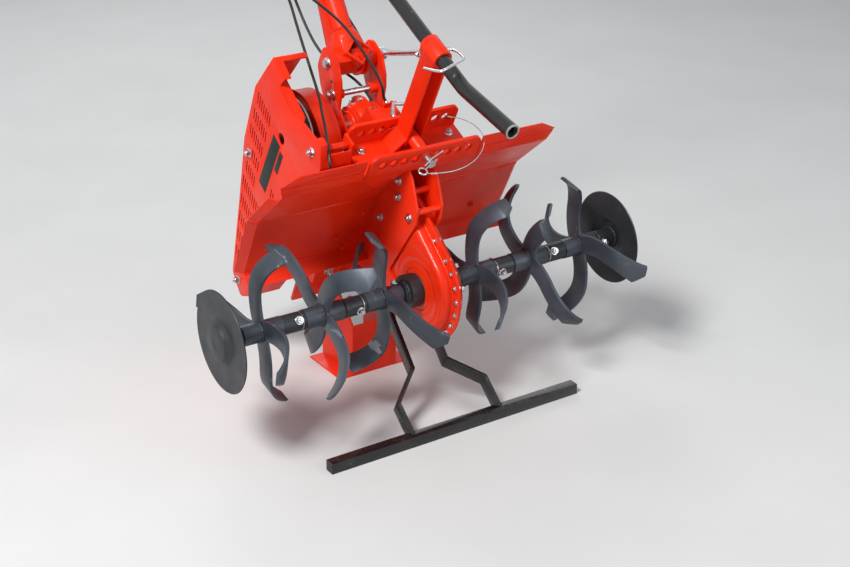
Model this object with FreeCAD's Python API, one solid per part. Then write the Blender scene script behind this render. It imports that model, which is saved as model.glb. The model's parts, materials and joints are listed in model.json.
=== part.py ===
"""Walk-behind rotavator, parked nose-down on its front stand and bumper.

The machine is modelled upright, in millimetres, with its origin on the rotor's axis:
X across the machine, Y forward (the bumper's end), Z up. tip_over() then turns every
piece nose-down onto the floor, which is how the machine parks.
"""
import FreeCAD, Part
import math
import os

os.makedirs("parts", exist_ok=True)
V = FreeCAD.Vector
X_AXIS = V(1, 0, 0)

# Parking pose
TIP_ANGLE = 62.25          # degrees the machine is turned nose-down
FLOOR_DEPTH = 307.0        # rotor axis above the floor

BEND_CHORDS = 4            # chords in each bend of a rod or tube

# Clearances
RUN_FIT = 0.06             # radial, round parts that turn or slide in each other
SEAT_GAP = 0.25            # between round pieces of one body
SHEET = 3.0                # folded sheet of hoods and covers
PLATE = 6.0                # chassis plate
PLATE_IN_X = 28.5          # inner face of the support plates

# Rotor
TINE_RADIUS = 177.0
TINE_WIDTH = 44.0
TINE_THICK = 7.0
TINE_REACH = 58.0          # sideways travel of a tine's tip from its root
TINE_SWEEP = 32.0          # degrees the tip trails behind the root
TINES_PER_GROUP = 4
AXLE_RADIUS = 17.0
SLEEVE_RADIUS = 22.0
DISC_RADIUS = 110.0
DISC_THICK = 4.0
DISC_DISH = 14.0
DISC_X = 514.0
CUP_RADIUS = 38.0
CUP_LENGTH = 26.0

# Chain case
CASE_HALF = 28.0           # half its thickness at the domes
CASE_LOW_RADIUS = 122.0
CASE_TOP_RADIUS = 62.0
CASE_LOW_FLANGE = 22.0     # bolted rim outside the domes
CASE_TOP_FLANGE = 14.0
RIM_HALF = 3.0
CASE_ROUND = 10.0          # sloped edge of the domes
INPUT_Y, INPUT_Z = -140.0, 378.0
INPUT_RADIUS = 12.5
INPUT_BOSS = 28.0

# Drawbar hitch
HITCH_HOLE_Y = -258.0
HITCH_LOW_Z = 150.0
HITCH_HIGH_Z = 248.0
HITCH_THICK = 8.0
HITCH_HALF = 139.0
HITCH_WEB_Y = -229.0
HITCH_BACK_Y = -284.0
HOLE_PITCH = 26.9
HOLE_RADIUS = 10.0
HOLES_PER_FLANGE = 9
PIN_RADIUS = 8.5

# Depth spur, its sleeve and arm
SPUR_Y = -485.0
SPUR_RADIUS = 15.5
SPUR_TOP_Z = 430.0
SPUR_BEND_Z = 112.0
SPUR_TIP_Y, SPUR_TIP_Z = -523.0, -57.0
SLEEVE_LOW_Z, SLEEVE_HIGH_Z = 196.0, 253.0
SLEEVE_WALL = 6.0
ARM_HALF = 20.0
ARM_LOW_Z, ARM_HIGH_Z = 198.0, 243.5
BRACE_BOLT_RADIUS = 5.0
ARM_FOOT_HALF = 49.0       # half width of the arm's foot on the hitch
BRACE_Y, BRACE_Z = SPUR_Y + 36.0, 260.0

# Handlebar column and its yoke
PIVOT_Y, PIVOT_Z = -240.5, 480.0
PIVOT_RADIUS = 8.0
YOKE_HALF = 60.0
EAR_RADIUS = 30.0
ROD_Y, ROD_Z = -189.0, 432.0
ROD_RADIUS = 7.0
COLUMN_RISE = 59.5         # degrees above the rearward horizontal
COLUMN_RADIUS = 24.0
COLUMN_LENGTH = 350.0
BAR_RADIUS = 12.5
BAR_SPREAD = 290.0

# Parking stand
STAND_PIVOT_Y, STAND_PIVOT_Z = 122.0, 48.0
STAND_FOOT_Z = -239.3
STAND_FOOT_HALF = 325.0
STAND_FOOT_SIZE = 25.0
STAND_BAR_WIDE, STAND_BAR_THICK = 28.0, 10.0
STAND_LEG_IN, STAND_LEG_OUT = 45.0, 116.0
STAND_BOLT_RADIUS = 6.0

# Hoods, cover and bumper
HOOD_OUT_X = 337.0
HOOD_REAR_Y, HOOD_LIP_Z = -277.0, 150.0
HOOD_FOLD = (-222.0, 150.0)
HOOD_CROWN = (-88.0, 208.5)
HOOD_BROW = (79.0, 209.0)
HOOD_FRONT = (89.0, 174.0)
COVER_X = -230.0
COVER_DEPTH = 75.0
SPACER_Y, SPACER_Z = -248.0, 232.0
SPACER_RADIUS = 8.0
GUARD_Y, GUARD_Z = -98.0, 392.0
GUARD_RADIUS = 118.0
GUARD_OUT_X, GUARD_IN_X = -150.0, -100.0
SLOT_LENGTH, SLOT_WIDE = 29.0, 4.0
BUMPER_HALF = 95.0
BUMPER_LOW_Z, BUMPER_HIGH_Z = 62.0, 188.0

# Slots of the belt cover: (column, first row, count) on a slanted grid
SLOT_START = (-189.0, 464.0)
SLOT_PITCH = 46.4              # from column to column
SLOT_DOWN = (2.3, -10.25)      # from row to row
SLOT_TILT = -10.0              # degrees
SLOT_COLUMNS = [(0, 0, 7), (1, 0, 7), (2, 0, 7), (3, 3, 4), (3, 13, 2), (4, 2, 5), (5, 2, 9), (6, 3, 8), (7, 4, 8),
                (8, 5, 8), (9, 6, 6)]

# Belt drive and engine
DRIVEN_RADIUS = 88.0
CRANK_Y, CRANK_Z = 175.0, 372.0
CRANK_RADIUS = 11.0
CRANK_PULLEY_RADIUS = 42.0
BELT_X = -185.0
BELT_WIDE, BELT_THICK = 13.0, 9.0
BASE_Z = 262.0
BASE_THICK = 8.0


def cylinder(start, end, radius):
    """Solid rod between two points."""
    run = end - start
    return Part.makeCylinder(radius, run.Length, start, run)


def pipe(start, end, outer, inner):
    """Round tube between two points."""
    return cylinder(start, end, outer).cut(cylinder(start, end, inner))


def x_rod(x0, x1, y, z, radius):
    """Rod that lies across the machine."""
    return cylinder(V(x0, y, z), V(x1, y, z), radius)


def x_pipe(x0, x1, y, z, outer, inner):
    """Tube that lies across the machine."""
    return pipe(V(x0, y, z), V(x1, y, z), outer, inner)


def block(x0, x1, y0, y1, z0, z1):
    """Box between two corners."""
    return Part.makeBox(x1 - x0, y1 - y0, z1 - z0, V(x0, y0, z0))


def rounded_wire(corners):
    """Closed wire through (point, radius) corners; a radius of 0 leaves the corner sharp."""
    count = len(corners)
    ends = []
    for i, (point, radius) in enumerate(corners):
        before = (corners[i - 1][0] - point).normalize()
        after = (corners[(i + 1) % count][0] - point).normalize()
        if radius <= 0:
            ends.append((point, None, point))
            continue
        half = before.getAngle(after) / 2
        reach = radius / math.tan(half)
        middle = (before + after).normalize()
        crown = point + middle * (radius / math.sin(half) - radius)
        ends.append((point + before * reach, crown, point + after * reach))
    edges = []
    for i, (first, crown, last) in enumerate(ends):
        if crown is not None:
            edges.append(Part.Arc(first, crown, last).toShape())
        following = ends[(i + 1) % count][0]
        if last.distanceToPoint(following) > 1e-6:
            edges.append(Part.LineSegment(last, following).toShape())
    return Part.Wire(edges)


def side_plate(corners, x0, x1):
    """Plate across X from a side outline of (y, z, radius) corners."""
    wire = rounded_wire([(V(x0, y, z), radius) for y, z, radius in corners])
    return Part.Face(wire).extrude(V(x1 - x0, 0, 0))


def flat_plate(corners, z0, z1):
    """Horizontal plate from a plan outline of (x, y, radius) corners."""
    wire = rounded_wire([(V(x, y, z0), radius) for x, y, radius in corners])
    return Part.Face(wire).extrude(V(0, 0, z1 - z0))


def capsule(y0, z0, r0, y1, z1, r1, x0, x1):
    """Plate across X whose outline is the belt line round two circles."""
    run = V(0, y1 - y0, z1 - z0)
    spread = math.asin((r0 - r1) / run.Length)
    lean = math.atan2(z1 - z0, y1 - y0)
    edges, sides = [], []
    for sign in (1, -1):
        angle = lean + sign * (math.pi / 2 - spread)
        out = V(0, math.cos(angle), math.sin(angle))
        sides.append((V(x0, y0, z0) + out * r0, V(x0, y1, z1) + out * r1))
    along = V(0, math.cos(lean), math.sin(lean))
    edges.append(Part.LineSegment(*sides[0]).toShape())
    edges.append(Part.Arc(sides[0][1], V(x0, y1, z1) + along * r1, sides[1][1]).toShape())
    edges.append(Part.LineSegment(sides[1][1], sides[1][0]).toShape())
    edges.append(Part.Arc(sides[1][0], V(x0, y0, z0) - along * r0, sides[0][0]).toShape())
    return Part.Face(Part.Wire(edges)).extrude(V(x1 - x0, 0, 0))


def bend_points(points, radii):
    """Points along a bent run: each inner corner becomes an arc of a few chords."""
    line = [points[0]]
    for i, radius in enumerate(radii, 1):
        point = points[i]
        before = (points[i - 1] - point).normalize()
        after = (points[i + 1] - point).normalize()
        half = before.getAngle(after) / 2
        reach = radius / math.tan(half)
        centre = point + (before + after).normalize() * (radius / math.sin(half))
        first, last = point + before * reach - centre, point + after * reach - centre
        turn = math.pi - 2 * half
        for step in range(BEND_CHORDS + 1):
            angle = turn * step / BEND_CHORDS
            line.append(centre + (first * math.sin(turn - angle) + last * math.sin(angle)) / math.sin(turn))
    return line + [points[-1]]


def bent_rod(points, radii, radius):
    """Round bar swept along a bent run."""
    path = Part.makePolygon(bend_points(points, radii))
    section = Part.Wire([Part.Circle(points[0], points[1] - points[0], radius).toShape()])
    return path.makePipeShell([section], True, False, 1)


def bent_tube(points, radii, outer, inner):
    """Bent round tube, open at both ends."""
    return bent_rod(points, radii, outer).cut(bent_rod(points, radii, inner))


def edge_flange(points, x, aside, thick):
    """Sheet flange that leans by the vector aside from (y, z) points at one end of a folded sheet."""
    solids = []
    for (y0, z0), (y1, z1) in zip(points, points[1:]):
        start, end = V(x, y0, z0), V(x, y1, z1)
        corners = [start, end, end + aside, start + aside]
        out = (end - start).cross(aside).normalize() * thick
        solids.append(Part.Face(Part.makePolygon(corners + corners[:1])).extrude(out))
    for y, z in points[1:-1]:
        solids.append(cylinder(V(x, y, z), V(x, y, z) + aside, thick))
    return solids[0].multiFuse(solids[1:])


def strip(points, wide, thick, sheet_x):
    """Flat strip folded along (y, z) points, its width across X from sheet_x."""
    solids = []
    for (y0, z0), (y1, z1) in zip(points, points[1:]):
        run = V(0, y1 - y0, z1 - z0)
        out = V(0, -run.z, run.y).normalize() * thick
        corners = [V(sheet_x, y0, z0), V(sheet_x, y1, z1)]
        corners += [corners[1] + out, corners[0] + out]
        solids.append(Part.Face(Part.makePolygon(corners + corners[:1])).extrude(V(wide, 0, 0)))
    for y, z in points[1:-1]:
        solids.append(x_rod(sheet_x, sheet_x + wide, y, z, thick))
    return solids[0].multiFuse(solids[1:]).removeSplitter()


def mirrored(shape):
    """The same piece on the other side of the machine."""
    return shape.mirror(V(0, 0, 0), X_AXIS)


def column_point(along, aside=0.0, lift=0.0):
    """Point beside the column's axis: along it, across the machine, and square to both."""
    rise = math.radians(COLUMN_RISE)
    y = PIVOT_Y - along * math.cos(rise) + lift * math.sin(rise)
    z = PIVOT_Z + along * math.sin(rise) + lift * math.cos(rise)
    return V(aside, y, z)


def chain_case():
    """Pressed case: bolted rim, two domes and the bearing bosses."""
    rim = capsule(0, 0, CASE_LOW_RADIUS, INPUT_Y, INPUT_Z, CASE_TOP_RADIUS, -RIM_HALF, RIM_HALF)
    low, top = CASE_LOW_RADIUS - CASE_LOW_FLANGE, CASE_TOP_RADIUS - CASE_TOP_FLANGE
    dome = capsule(0, 0, low, INPUT_Y, INPUT_Z, top, -CASE_HALF, CASE_HALF)
    edges = [edge for edge in dome.Edges if abs(abs(edge.CenterOfMass.x) - CASE_HALF) < 0.01]
    dome = dome.makeChamfer(CASE_ROUND, edges)
    boss = x_rod(-CASE_HALF - 4, CASE_HALF + 4, 0, 0, 48.0)
    top_boss = x_rod(-CASE_HALF - 8, CASE_HALF + 4, INPUT_Y, INPUT_Z, INPUT_BOSS)
    bore = x_rod(-60, 60, 0, 0, AXLE_RADIUS + RUN_FIT)
    input_bore = x_rod(-60, 0, INPUT_Y, INPUT_Z, INPUT_RADIUS + SEAT_GAP)
    return rim.multiFuse([dome, boss, top_boss]).cut(bore).cut(input_bore)


def support_plate():
    """Side plate that joins the case, the hitch, the yoke and the engine's base (left one)."""
    x1 = -PLATE_IN_X
    back = HITCH_WEB_Y + PLATE + SEAT_GAP
    outline = [(back, HITCH_HIGH_Z + HITCH_THICK, 0), (back, 144, 0), (-214, 127, 8), (-166, 79, 10),
               (-133, 69, 12), (46, 99, 10), (50, 62, 12), (108, 34, 20), (138, 34, 14), (140, 64, 14),
               (128, 200, 30), (300, BASE_Z - 8, 6), (300, BASE_Z, 0), (0, BASE_Z, 20), (-104, 412, 30),
               (ROD_Y + 20, ROD_Z + 20, 12), (ROD_Y - 20, ROD_Z + 20, 12), (-234, 350, 20)]
    plate = side_plate(outline, x1 - PLATE, x1)
    for y, z, radius in ((INPUT_Y, INPUT_Z, INPUT_BOSS), (ROD_Y, ROD_Z, ROD_RADIUS),
                         (STAND_PIVOT_Y, STAND_PIVOT_Z, STAND_BOLT_RADIUS)):
        plate = plate.cut(x_rod(x1 - 50, x1 + 50, y, z, radius + SEAT_GAP))
    return plate


def hitch():
    """Channel with a row of drawbar holes through both flanges, open to the rear."""
    half = HITCH_THICK / 2
    body = block(-HITCH_HALF, HITCH_HALF, HITCH_WEB_Y, HITCH_WEB_Y + PLATE, HITCH_LOW_Z - half,
                 HITCH_HIGH_Z + half)
    for z in (HITCH_LOW_Z, HITCH_HIGH_Z):
        outline = [(-HITCH_HALF, HITCH_WEB_Y + PLATE, 0), (HITCH_HALF, HITCH_WEB_Y + PLATE, 0),
                   (HITCH_HALF, HITCH_BACK_Y, 18), (-HITCH_HALF, HITCH_BACK_Y, 18)]
        body = body.fuse(flat_plate(outline, z - half, z + half))
    first = -HOLE_PITCH * (HOLES_PER_FLANGE - 1) / 2
    for i in range(HOLES_PER_FLANGE):
        x = first + i * HOLE_PITCH
        body = body.cut(cylinder(V(x, HITCH_HOLE_Y, HITCH_LOW_Z - 20),
                                 V(x, HITCH_HOLE_Y, HITCH_HIGH_Z + 20), HOLE_RADIUS))
    lug = block(-HITCH_HALF - PLATE, -HITCH_HALF, SPACER_Y - 14, HITCH_WEB_Y + PLATE, HITCH_LOW_Z + 65,
                HITCH_HIGH_Z + half)
    return body.fuse(lug).removeSplitter()


def spur_arm():
    """Channel from the drawbar pin to the spur's sleeve, open below, with a splayed foot and the rod's lug."""
    front = HITCH_HOLE_Y + 14
    outer = block(-ARM_HALF, ARM_HALF, SPUR_Y + 4, front, ARM_LOW_Z, ARM_HIGH_Z)
    inner = block(-ARM_HALF + 5, ARM_HALF - 5, SPUR_Y, front + 5, ARM_LOW_Z - 5, ARM_HIGH_Z - 5)
    bore = SPUR_RADIUS + RUN_FIT
    sleeve = cylinder(V(0, SPUR_Y, SLEEVE_LOW_Z), V(0, SPUR_Y, SLEEVE_HIGH_Z), bore + SLEEVE_WALL)
    bush = cylinder(V(0, HITCH_HOLE_Y, HITCH_LOW_Z + HITCH_THICK / 2 + 0.3),
                    V(0, HITCH_HOLE_Y, ARM_HIGH_Z), PIN_RADIUS + 6)
    lug = side_plate([(BRACE_Y - 9, ARM_HIGH_Z - 1, 0), (BRACE_Y + 20, ARM_HIGH_Z - 1, 0),
                      (BRACE_Y + 12, BRACE_Z + 12, 10), (BRACE_Y - 12, BRACE_Z + 12, 10)], -3, 3)
    web_y = HITCH_WEB_Y - 0.3
    foot_back = HITCH_HOLE_Y - 8
    wings = []
    for side in (-1, 1):
        corners = [V(side * (ARM_HALF - 2), foot_back, ARM_LOW_Z), V(side * ARM_FOOT_HALF, web_y, ARM_LOW_Z),
                   V(side * (ARM_FOOT_HALF - 8), web_y, ARM_LOW_Z),
                   V(side * (ARM_HALF - 5), foot_back + 6, ARM_LOW_Z)]
        face = Part.Face(Part.makePolygon(corners + corners[:1]))
        wings.append(face.extrude(V(0, 0, ARM_HIGH_Z - ARM_LOW_Z)))
    arm = outer.cut(inner).multiFuse([sleeve, bush, lug] + wings)
    arm = arm.cut(cylinder(V(0, SPUR_Y, SLEEVE_LOW_Z - 5), V(0, SPUR_Y, BRACE_Z + 30), bore))
    arm = arm.cut(x_rod(-9, 9, BRACE_Y, BRACE_Z, BRACE_BOLT_RADIUS + SEAT_GAP))
    return arm.cut(cylinder(V(0, HITCH_HOLE_Y, HITCH_LOW_Z - 20), V(0, HITCH_HOLE_Y, HITCH_HIGH_Z + 20),
                            PIN_RADIUS + SEAT_GAP))


def spur():
    """Bent tube that drags in the soil and sets the working depth."""
    points = [V(0, SPUR_Y, SPUR_TOP_Z), V(0, SPUR_Y, SPUR_BEND_Z), V(0, SPUR_TIP_Y, SPUR_TIP_Z)]
    return bent_tube(points, [90.0], SPUR_RADIUS, SPUR_RADIUS - 3.5)


def spur_pin():
    """Lock pin in the sleeve's wall with its wire bail hanging round the spur."""
    x0 = SPUR_RADIUS + RUN_FIT + 0.3 + SLEEVE_WALL
    z = SLEEVE_LOW_Z + 0.5 * (SLEEVE_HIGH_Z - SLEEVE_LOW_Z)
    pin = x_rod(x0, x0 + 12, SPUR_Y, z, 5.0)
    points = [V(x0 + 2, SPUR_Y, z), V(x0 + 20, SPUR_Y, z), V(x0 + 12, SPUR_Y - 40, z - 59),
              V(-x0 - 13, SPUR_Y - 40, z - 83), V(-x0 - 36, SPUR_Y - 13, z - 65)]
    return pin.fuse(bent_rod(points, [8.0, 8.0, 8.0], 2.5))


def tie_rod():
    """Bright rod with an eye at each end that braces the yoke against the spur's arm."""
    eye_x = YOKE_HALF + 0.5
    start, end = V(eye_x + 20, PIVOT_Y, PIVOT_Z), V(11.5, BRACE_Y, BRACE_Z)
    rod = cylinder(start, end, 6.5)
    rod = rod.fuse(x_rod(eye_x, eye_x + 26, PIVOT_Y, PIVOT_Z, 15.0))
    rod = rod.fuse(x_rod(3.3, 18.5, BRACE_Y, BRACE_Z, 11.0))
    rod = rod.cut(x_rod(-100, 100, PIVOT_Y, PIVOT_Z, PIVOT_RADIUS + SEAT_GAP))
    return rod.cut(x_rod(-50, 50, BRACE_Y, BRACE_Z, BRACE_BOLT_RADIUS + SEAT_GAP))


def yoke():
    """Long side plates of the yoke: they stand on the engine's base and carry the handlebar column."""
    base = BASE_Z + BASE_THICK + SEAT_GAP
    outline = [(-94, base, 0), (-150, 338, 20), (-177, 397, 16), (-213, 405, 12), (-240, 418, 12),
               (-270, 448, 12), (-276, 513, 27), (-206, 513, 24), (-176, 487, 14), (-136, 438, 20),
               (-79, 390, 16), (64, 292, 10), (64, base, 0)]
    plate = side_plate(outline, YOKE_HALF - PLATE, YOKE_HALF)
    plate = plate.cut(x_rod(0, 100, PIVOT_Y, PIVOT_Z, PIVOT_RADIUS + SEAT_GAP))
    spacer = x_rod(PLATE_IN_X + PLATE + 0.3, YOKE_HALF - 1, ROD_Y, ROD_Z, 12.0)
    plate = plate.fuse(spacer).cut(x_rod(0, 100, ROD_Y, ROD_Z, ROD_RADIUS + SEAT_GAP))
    shaft_hole = x_rod(-100, 0, INPUT_Y, INPUT_Z, INPUT_RADIUS + SEAT_GAP)
    return plate, mirrored(plate).cut(shaft_hole)


def pulley_guard():
    """Round guard behind the driven pulley with the bearing housing of the input shaft."""
    wall = x_pipe(GUARD_OUT_X, GUARD_IN_X, GUARD_Y, GUARD_Z, GUARD_RADIUS, GUARD_RADIUS - SHEET)
    lip = x_pipe(GUARD_OUT_X, GUARD_OUT_X + SHEET, GUARD_Y, GUARD_Z, GUARD_RADIUS + 5, GUARD_RADIUS - SHEET)
    back = x_rod(GUARD_IN_X - SHEET, GUARD_IN_X, GUARD_Y, GUARD_Z, GUARD_RADIUS)
    housing = x_rod(GUARD_IN_X - 1, -YOKE_HALF - SEAT_GAP, INPUT_Y, INPUT_Z, 24.0)
    bore = x_rod(-200, 0, INPUT_Y, INPUT_Z, INPUT_RADIUS + SEAT_GAP)
    return wall.multiFuse([lip, back, housing]).cut(bore)


def column_block():
    """Block that tilts between the ears, with the swivel flange under the head."""
    half = YOKE_HALF - PLATE - 5.5
    body = x_rod(-half, half, PIVOT_Y, PIVOT_Z, 24.0)
    post = cylinder(column_point(0), column_point(52), 22.0)
    flange = cylinder(column_point(36), column_point(46), 38.0)
    body = body.multiFuse([post, flange])
    return body.cut(x_rod(-100, 100, PIVOT_Y, PIVOT_Z, PIVOT_RADIUS + RUN_FIT))


def column_tube():
    """Column with its flared collar and two side fins."""
    tube = pipe(column_point(60), column_point(COLUMN_LENGTH - 25), COLUMN_RADIUS, COLUMN_RADIUS - 3)
    head = cylinder(column_point(46.5), column_point(92), 31.0)
    head = head.cut(cylinder(column_point(40), column_point(60), 22.3))
    fins = []
    for side in (-1, 1):
        corners = [column_point(70, side * 22), column_point(70, side * 40), column_point(150, side * 34),
                   column_point(160, side * 23)]
        face = Part.Face(Part.makePolygon(corners + corners[:1]))
        thick = column_point(0, 0, 4) - column_point(0)
        fins.append(face.extrude(thick))
    clamp = cylinder(column_point(COLUMN_LENGTH - 45), column_point(COLUMN_LENGTH + 5), COLUMN_RADIUS + 5)
    bar_hole = cylinder(column_point(COLUMN_LENGTH - 20, -60), column_point(COLUMN_LENGTH - 20, 60),
                        BAR_RADIUS + SEAT_GAP)
    return head.multiFuse([tube, clamp] + fins).cut(bar_hole)


def handlebars():
    """One bent bar: across the column's head and back to both grips."""
    top = column_point(COLUMN_LENGTH - 20)
    rear_y, rear_z = top.y - 430, top.z + 105
    points = [V(-BAR_SPREAD, rear_y, rear_z), V(-BAR_SPREAD, top.y - 60, top.z + 20),
              V(-90, top.y, top.z), V(90, top.y, top.z), V(BAR_SPREAD, top.y - 60, top.z + 20),
              V(BAR_SPREAD, rear_y, rear_z)]
    bar = bent_tube(points, [60.0, 60.0, 60.0, 60.0], BAR_RADIUS, BAR_RADIUS - 2.5)
    grip_run = (points[1] - points[0]).normalize()
    grip = pipe(points[0] - grip_run * 2, points[0] + grip_run * 125, BAR_RADIUS + 4.5, BAR_RADIUS + SEAT_GAP)
    return bar, grip, mirrored(grip)


def floor_y(z):
    """Forward place of the floor at height z, with the machine tipped over."""
    tip = math.radians(90 - TIP_ANGLE)
    return (FLOOR_DEPTH + math.sin(tip) * z) / math.cos(tip)


def stand():
    """Flat-bar legs and the cross foot of the parking stand."""
    half = STAND_BAR_THICK / 2
    foot_y = floor_y(STAND_FOOT_Z) - STAND_FOOT_SIZE / 2 / math.cos(math.radians(90 - TIP_ANGLE))
    stations = [(STAND_LEG_IN, STAND_PIVOT_Y, STAND_PIVOT_Z), (STAND_LEG_IN, 176.0, -92.0),
                (STAND_LEG_OUT, 190.0, -158.0), (STAND_LEG_OUT, foot_y, STAND_FOOT_Z + 8)]
    solids = []
    for (x0, y0, z0), (x1, y1, z1) in zip(stations, stations[1:]):
        across = V(x1 - x0, 0, z1 - z0).normalize()
        side = V(-across.z, 0, across.x) * half
        wide = V(0, STAND_BAR_WIDE / 2, 0)
        start, end = V(x0, y0, z0), V(x1, y1, z1)
        corners = [start + side - wide, start - side - wide, start - side + wide, start + side + wide]
        face = Part.Face(Part.makePolygon(corners + corners[:1]))
        solids.append(face.extrude(end - start))
        solids.append(cylinder(end - wide, end + wide, half))
    leg = solids[0].multiFuse(solids[1:])
    half_foot = STAND_FOOT_SIZE / 2
    foot = block(-STAND_FOOT_HALF, STAND_FOOT_HALF, -half_foot, half_foot, -half_foot, half_foot)
    foot.rotate(V(0, 0, 0), X_AXIS, TIP_ANGLE)
    foot.translate(V(0, foot_y, STAND_FOOT_Z))
    eye = x_rod(PLATE_IN_X + PLATE + 1, STAND_LEG_IN + half, STAND_PIVOT_Y, STAND_PIVOT_Z, 16.0)
    leg = leg.fuse(eye)
    whole = leg.multiFuse([mirrored(leg), foot])
    return whole.cut(x_rod(-60, 60, STAND_PIVOT_Y, STAND_PIVOT_Z,
                           STAND_BOLT_RADIUS + RUN_FIT))


def bumper():
    """Folded nose: a plate that lies on the floor, two cheeks and a belly pan."""
    low, high = BUMPER_LOW_Z, BUMPER_HIGH_Z
    tip = math.radians(90 - TIP_ANGLE)
    inward = V(0, -math.cos(tip), math.sin(tip)) * 4
    corners = [V(-BUMPER_HALF, floor_y(low), low), V(BUMPER_HALF, floor_y(low), low),
               V(BUMPER_HALF, floor_y(high), high), V(-BUMPER_HALF, floor_y(high), high)]
    plate = Part.Face(Part.makePolygon(corners + corners[:1])).extrude(inward)
    cheek = side_plate([(floor_y(low) - 3, low, 0), (floor_y(high) - 3, high, 0), (300, BASE_Z - 0.5, 0),
                        (210, BASE_Z - 0.5, 0), (262, 120, 20)], 56, 60)
    belly = strip([(262, 120), (floor_y(low) - 3, low)], 112, 4, -56)
    return plate.multiFuse([cheek, mirrored(cheek), belly])


def hood():
    """Folded hood over the left half of the rotor, with a grooved lip and a splayed outer flange."""
    inner = PLATE_IN_X + PLATE + SEAT_GAP
    x0, wide = -HOOD_OUT_X, HOOD_OUT_X - inner
    fold_y, lip_z = HOOD_FOLD
    lip_in = -HITCH_HALF - 2
    sheet = strip([HOOD_FOLD, HOOD_CROWN, HOOD_BROW, HOOD_FRONT], wide, SHEET, x0)
    lip = flat_plate([(lip_in, HOOD_REAR_Y, 0), (-306, HOOD_REAR_Y, 0), (-348, HOOD_REAR_Y + 23, 0),
                      (x0, fold_y + 1, 0), (lip_in, fold_y + 1, 0)], lip_z, lip_z + SHEET)
    groove_y = (HOOD_REAR_Y + fold_y) / 2
    rib = cylinder(V(-322, groove_y, lip_z + SHEET), V(lip_in, groove_y, lip_z + SHEET), 4.0)
    lip = lip.fuse(rib).cut(cylinder(V(-360, groove_y, lip_z), V(0, groove_y, lip_z), 2.2))
    start = (HOOD_FOLD[0] + 16, HOOD_FOLD[1] + 7)
    flange = edge_flange([start, HOOD_CROWN, HOOD_BROW], x0 + 1, V(-19, -2, 13), SHEET)
    notch = block(-HITCH_HALF - PLATE - 1, 0, HOOD_REAR_Y - 10, HITCH_WEB_Y + PLATE + SEAT_GAP,
                  HITCH_LOW_Z - 20, HITCH_HIGH_Z + 20)
    return sheet.multiFuse([lip, flange]).cut(notch)


def belt_cover():
    """Side cover of the belt drive: slotted outer face, deep rim, and a short lip along its rear edge."""
    outline = [(-326, 445, 6), (-205, 485, 20), (-55, 479, 30), (103, 441, 30), (310, 396, 16),
               (340, 340, 16), (295, 300, 10), (90, 236, 10), (-150, 226, 10), (-235, 190, 10),
               (-287, 211, 6), (-297, 285, 6), (-312, 384, 6)]
    cover = side_plate(outline, COVER_X, COVER_X + COVER_DEPTH)
    wire = rounded_wire([(V(COVER_X + SHEET, y, z), radius) for y, z, radius in outline])
    inner = wire.makeOffset2D(-SHEET)
    cover = cover.cut(Part.Face(inner).extrude(V(COVER_DEPTH, 0, 0)))
    cover = cover.cut(block(COVER_X + 16, 0, -340, -262, 200, 430))
    slots = []
    for column, first, count in SLOT_COLUMNS:
        for row in range(first, first + count):
            slot = block(COVER_X - 1, COVER_X + SHEET + 1, -SLOT_LENGTH / 2, SLOT_LENGTH / 2,
                         -SLOT_WIDE / 2, SLOT_WIDE / 2)
            slot.rotate(V(0, 0, 0), X_AXIS, SLOT_TILT)
            slot.translate(V(0, SLOT_START[0] + column * SLOT_PITCH + row * SLOT_DOWN[0],
                             SLOT_START[1] + row * SLOT_DOWN[1]))
            slots.append(slot)
    eye = x_rod(COVER_X - 1, COVER_X + SHEET + 1, -177, 346, 13.0)
    return cover.cut(Part.makeCompound(slots)).cut(eye)


def pulley(y, z, radius, x0, x1, bore):
    """V-belt pulley turned about the X axis, with a groove at the belt."""
    half = BELT_WIDE / 2
    rim, root = radius + 4, radius - 8
    profile = [V(x0, bore, 0), V(x0, rim, 0), V(BELT_X - half - 2, rim, 0), V(BELT_X - half + 1, root, 0),
               V(BELT_X + half - 1, root, 0), V(BELT_X + half + 2, rim, 0), V(x1, rim, 0), V(x1, bore, 0)]
    face = Part.Face(Part.makePolygon(profile + profile[:1]))
    wheel = face.revolve(V(0, 0, 0), X_AXIS, 360)
    wheel.translate(V(0, y, z))
    return wheel


def belt():
    """Closed V-belt round both pulleys."""
    half = BELT_WIDE / 2
    x0, x1 = BELT_X - half + 2.5, BELT_X + half - 2.5
    base_0, base_1 = DRIVEN_RADIUS - 7, CRANK_PULLEY_RADIUS - 7
    outer = capsule(INPUT_Y, INPUT_Z, base_0 + BELT_THICK, CRANK_Y, CRANK_Z, base_1 + BELT_THICK, x0, x1)
    inner = capsule(INPUT_Y, INPUT_Z, base_0, CRANK_Y, CRANK_Z, base_1, x0, x1)
    return outer.cut(inner)


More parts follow.
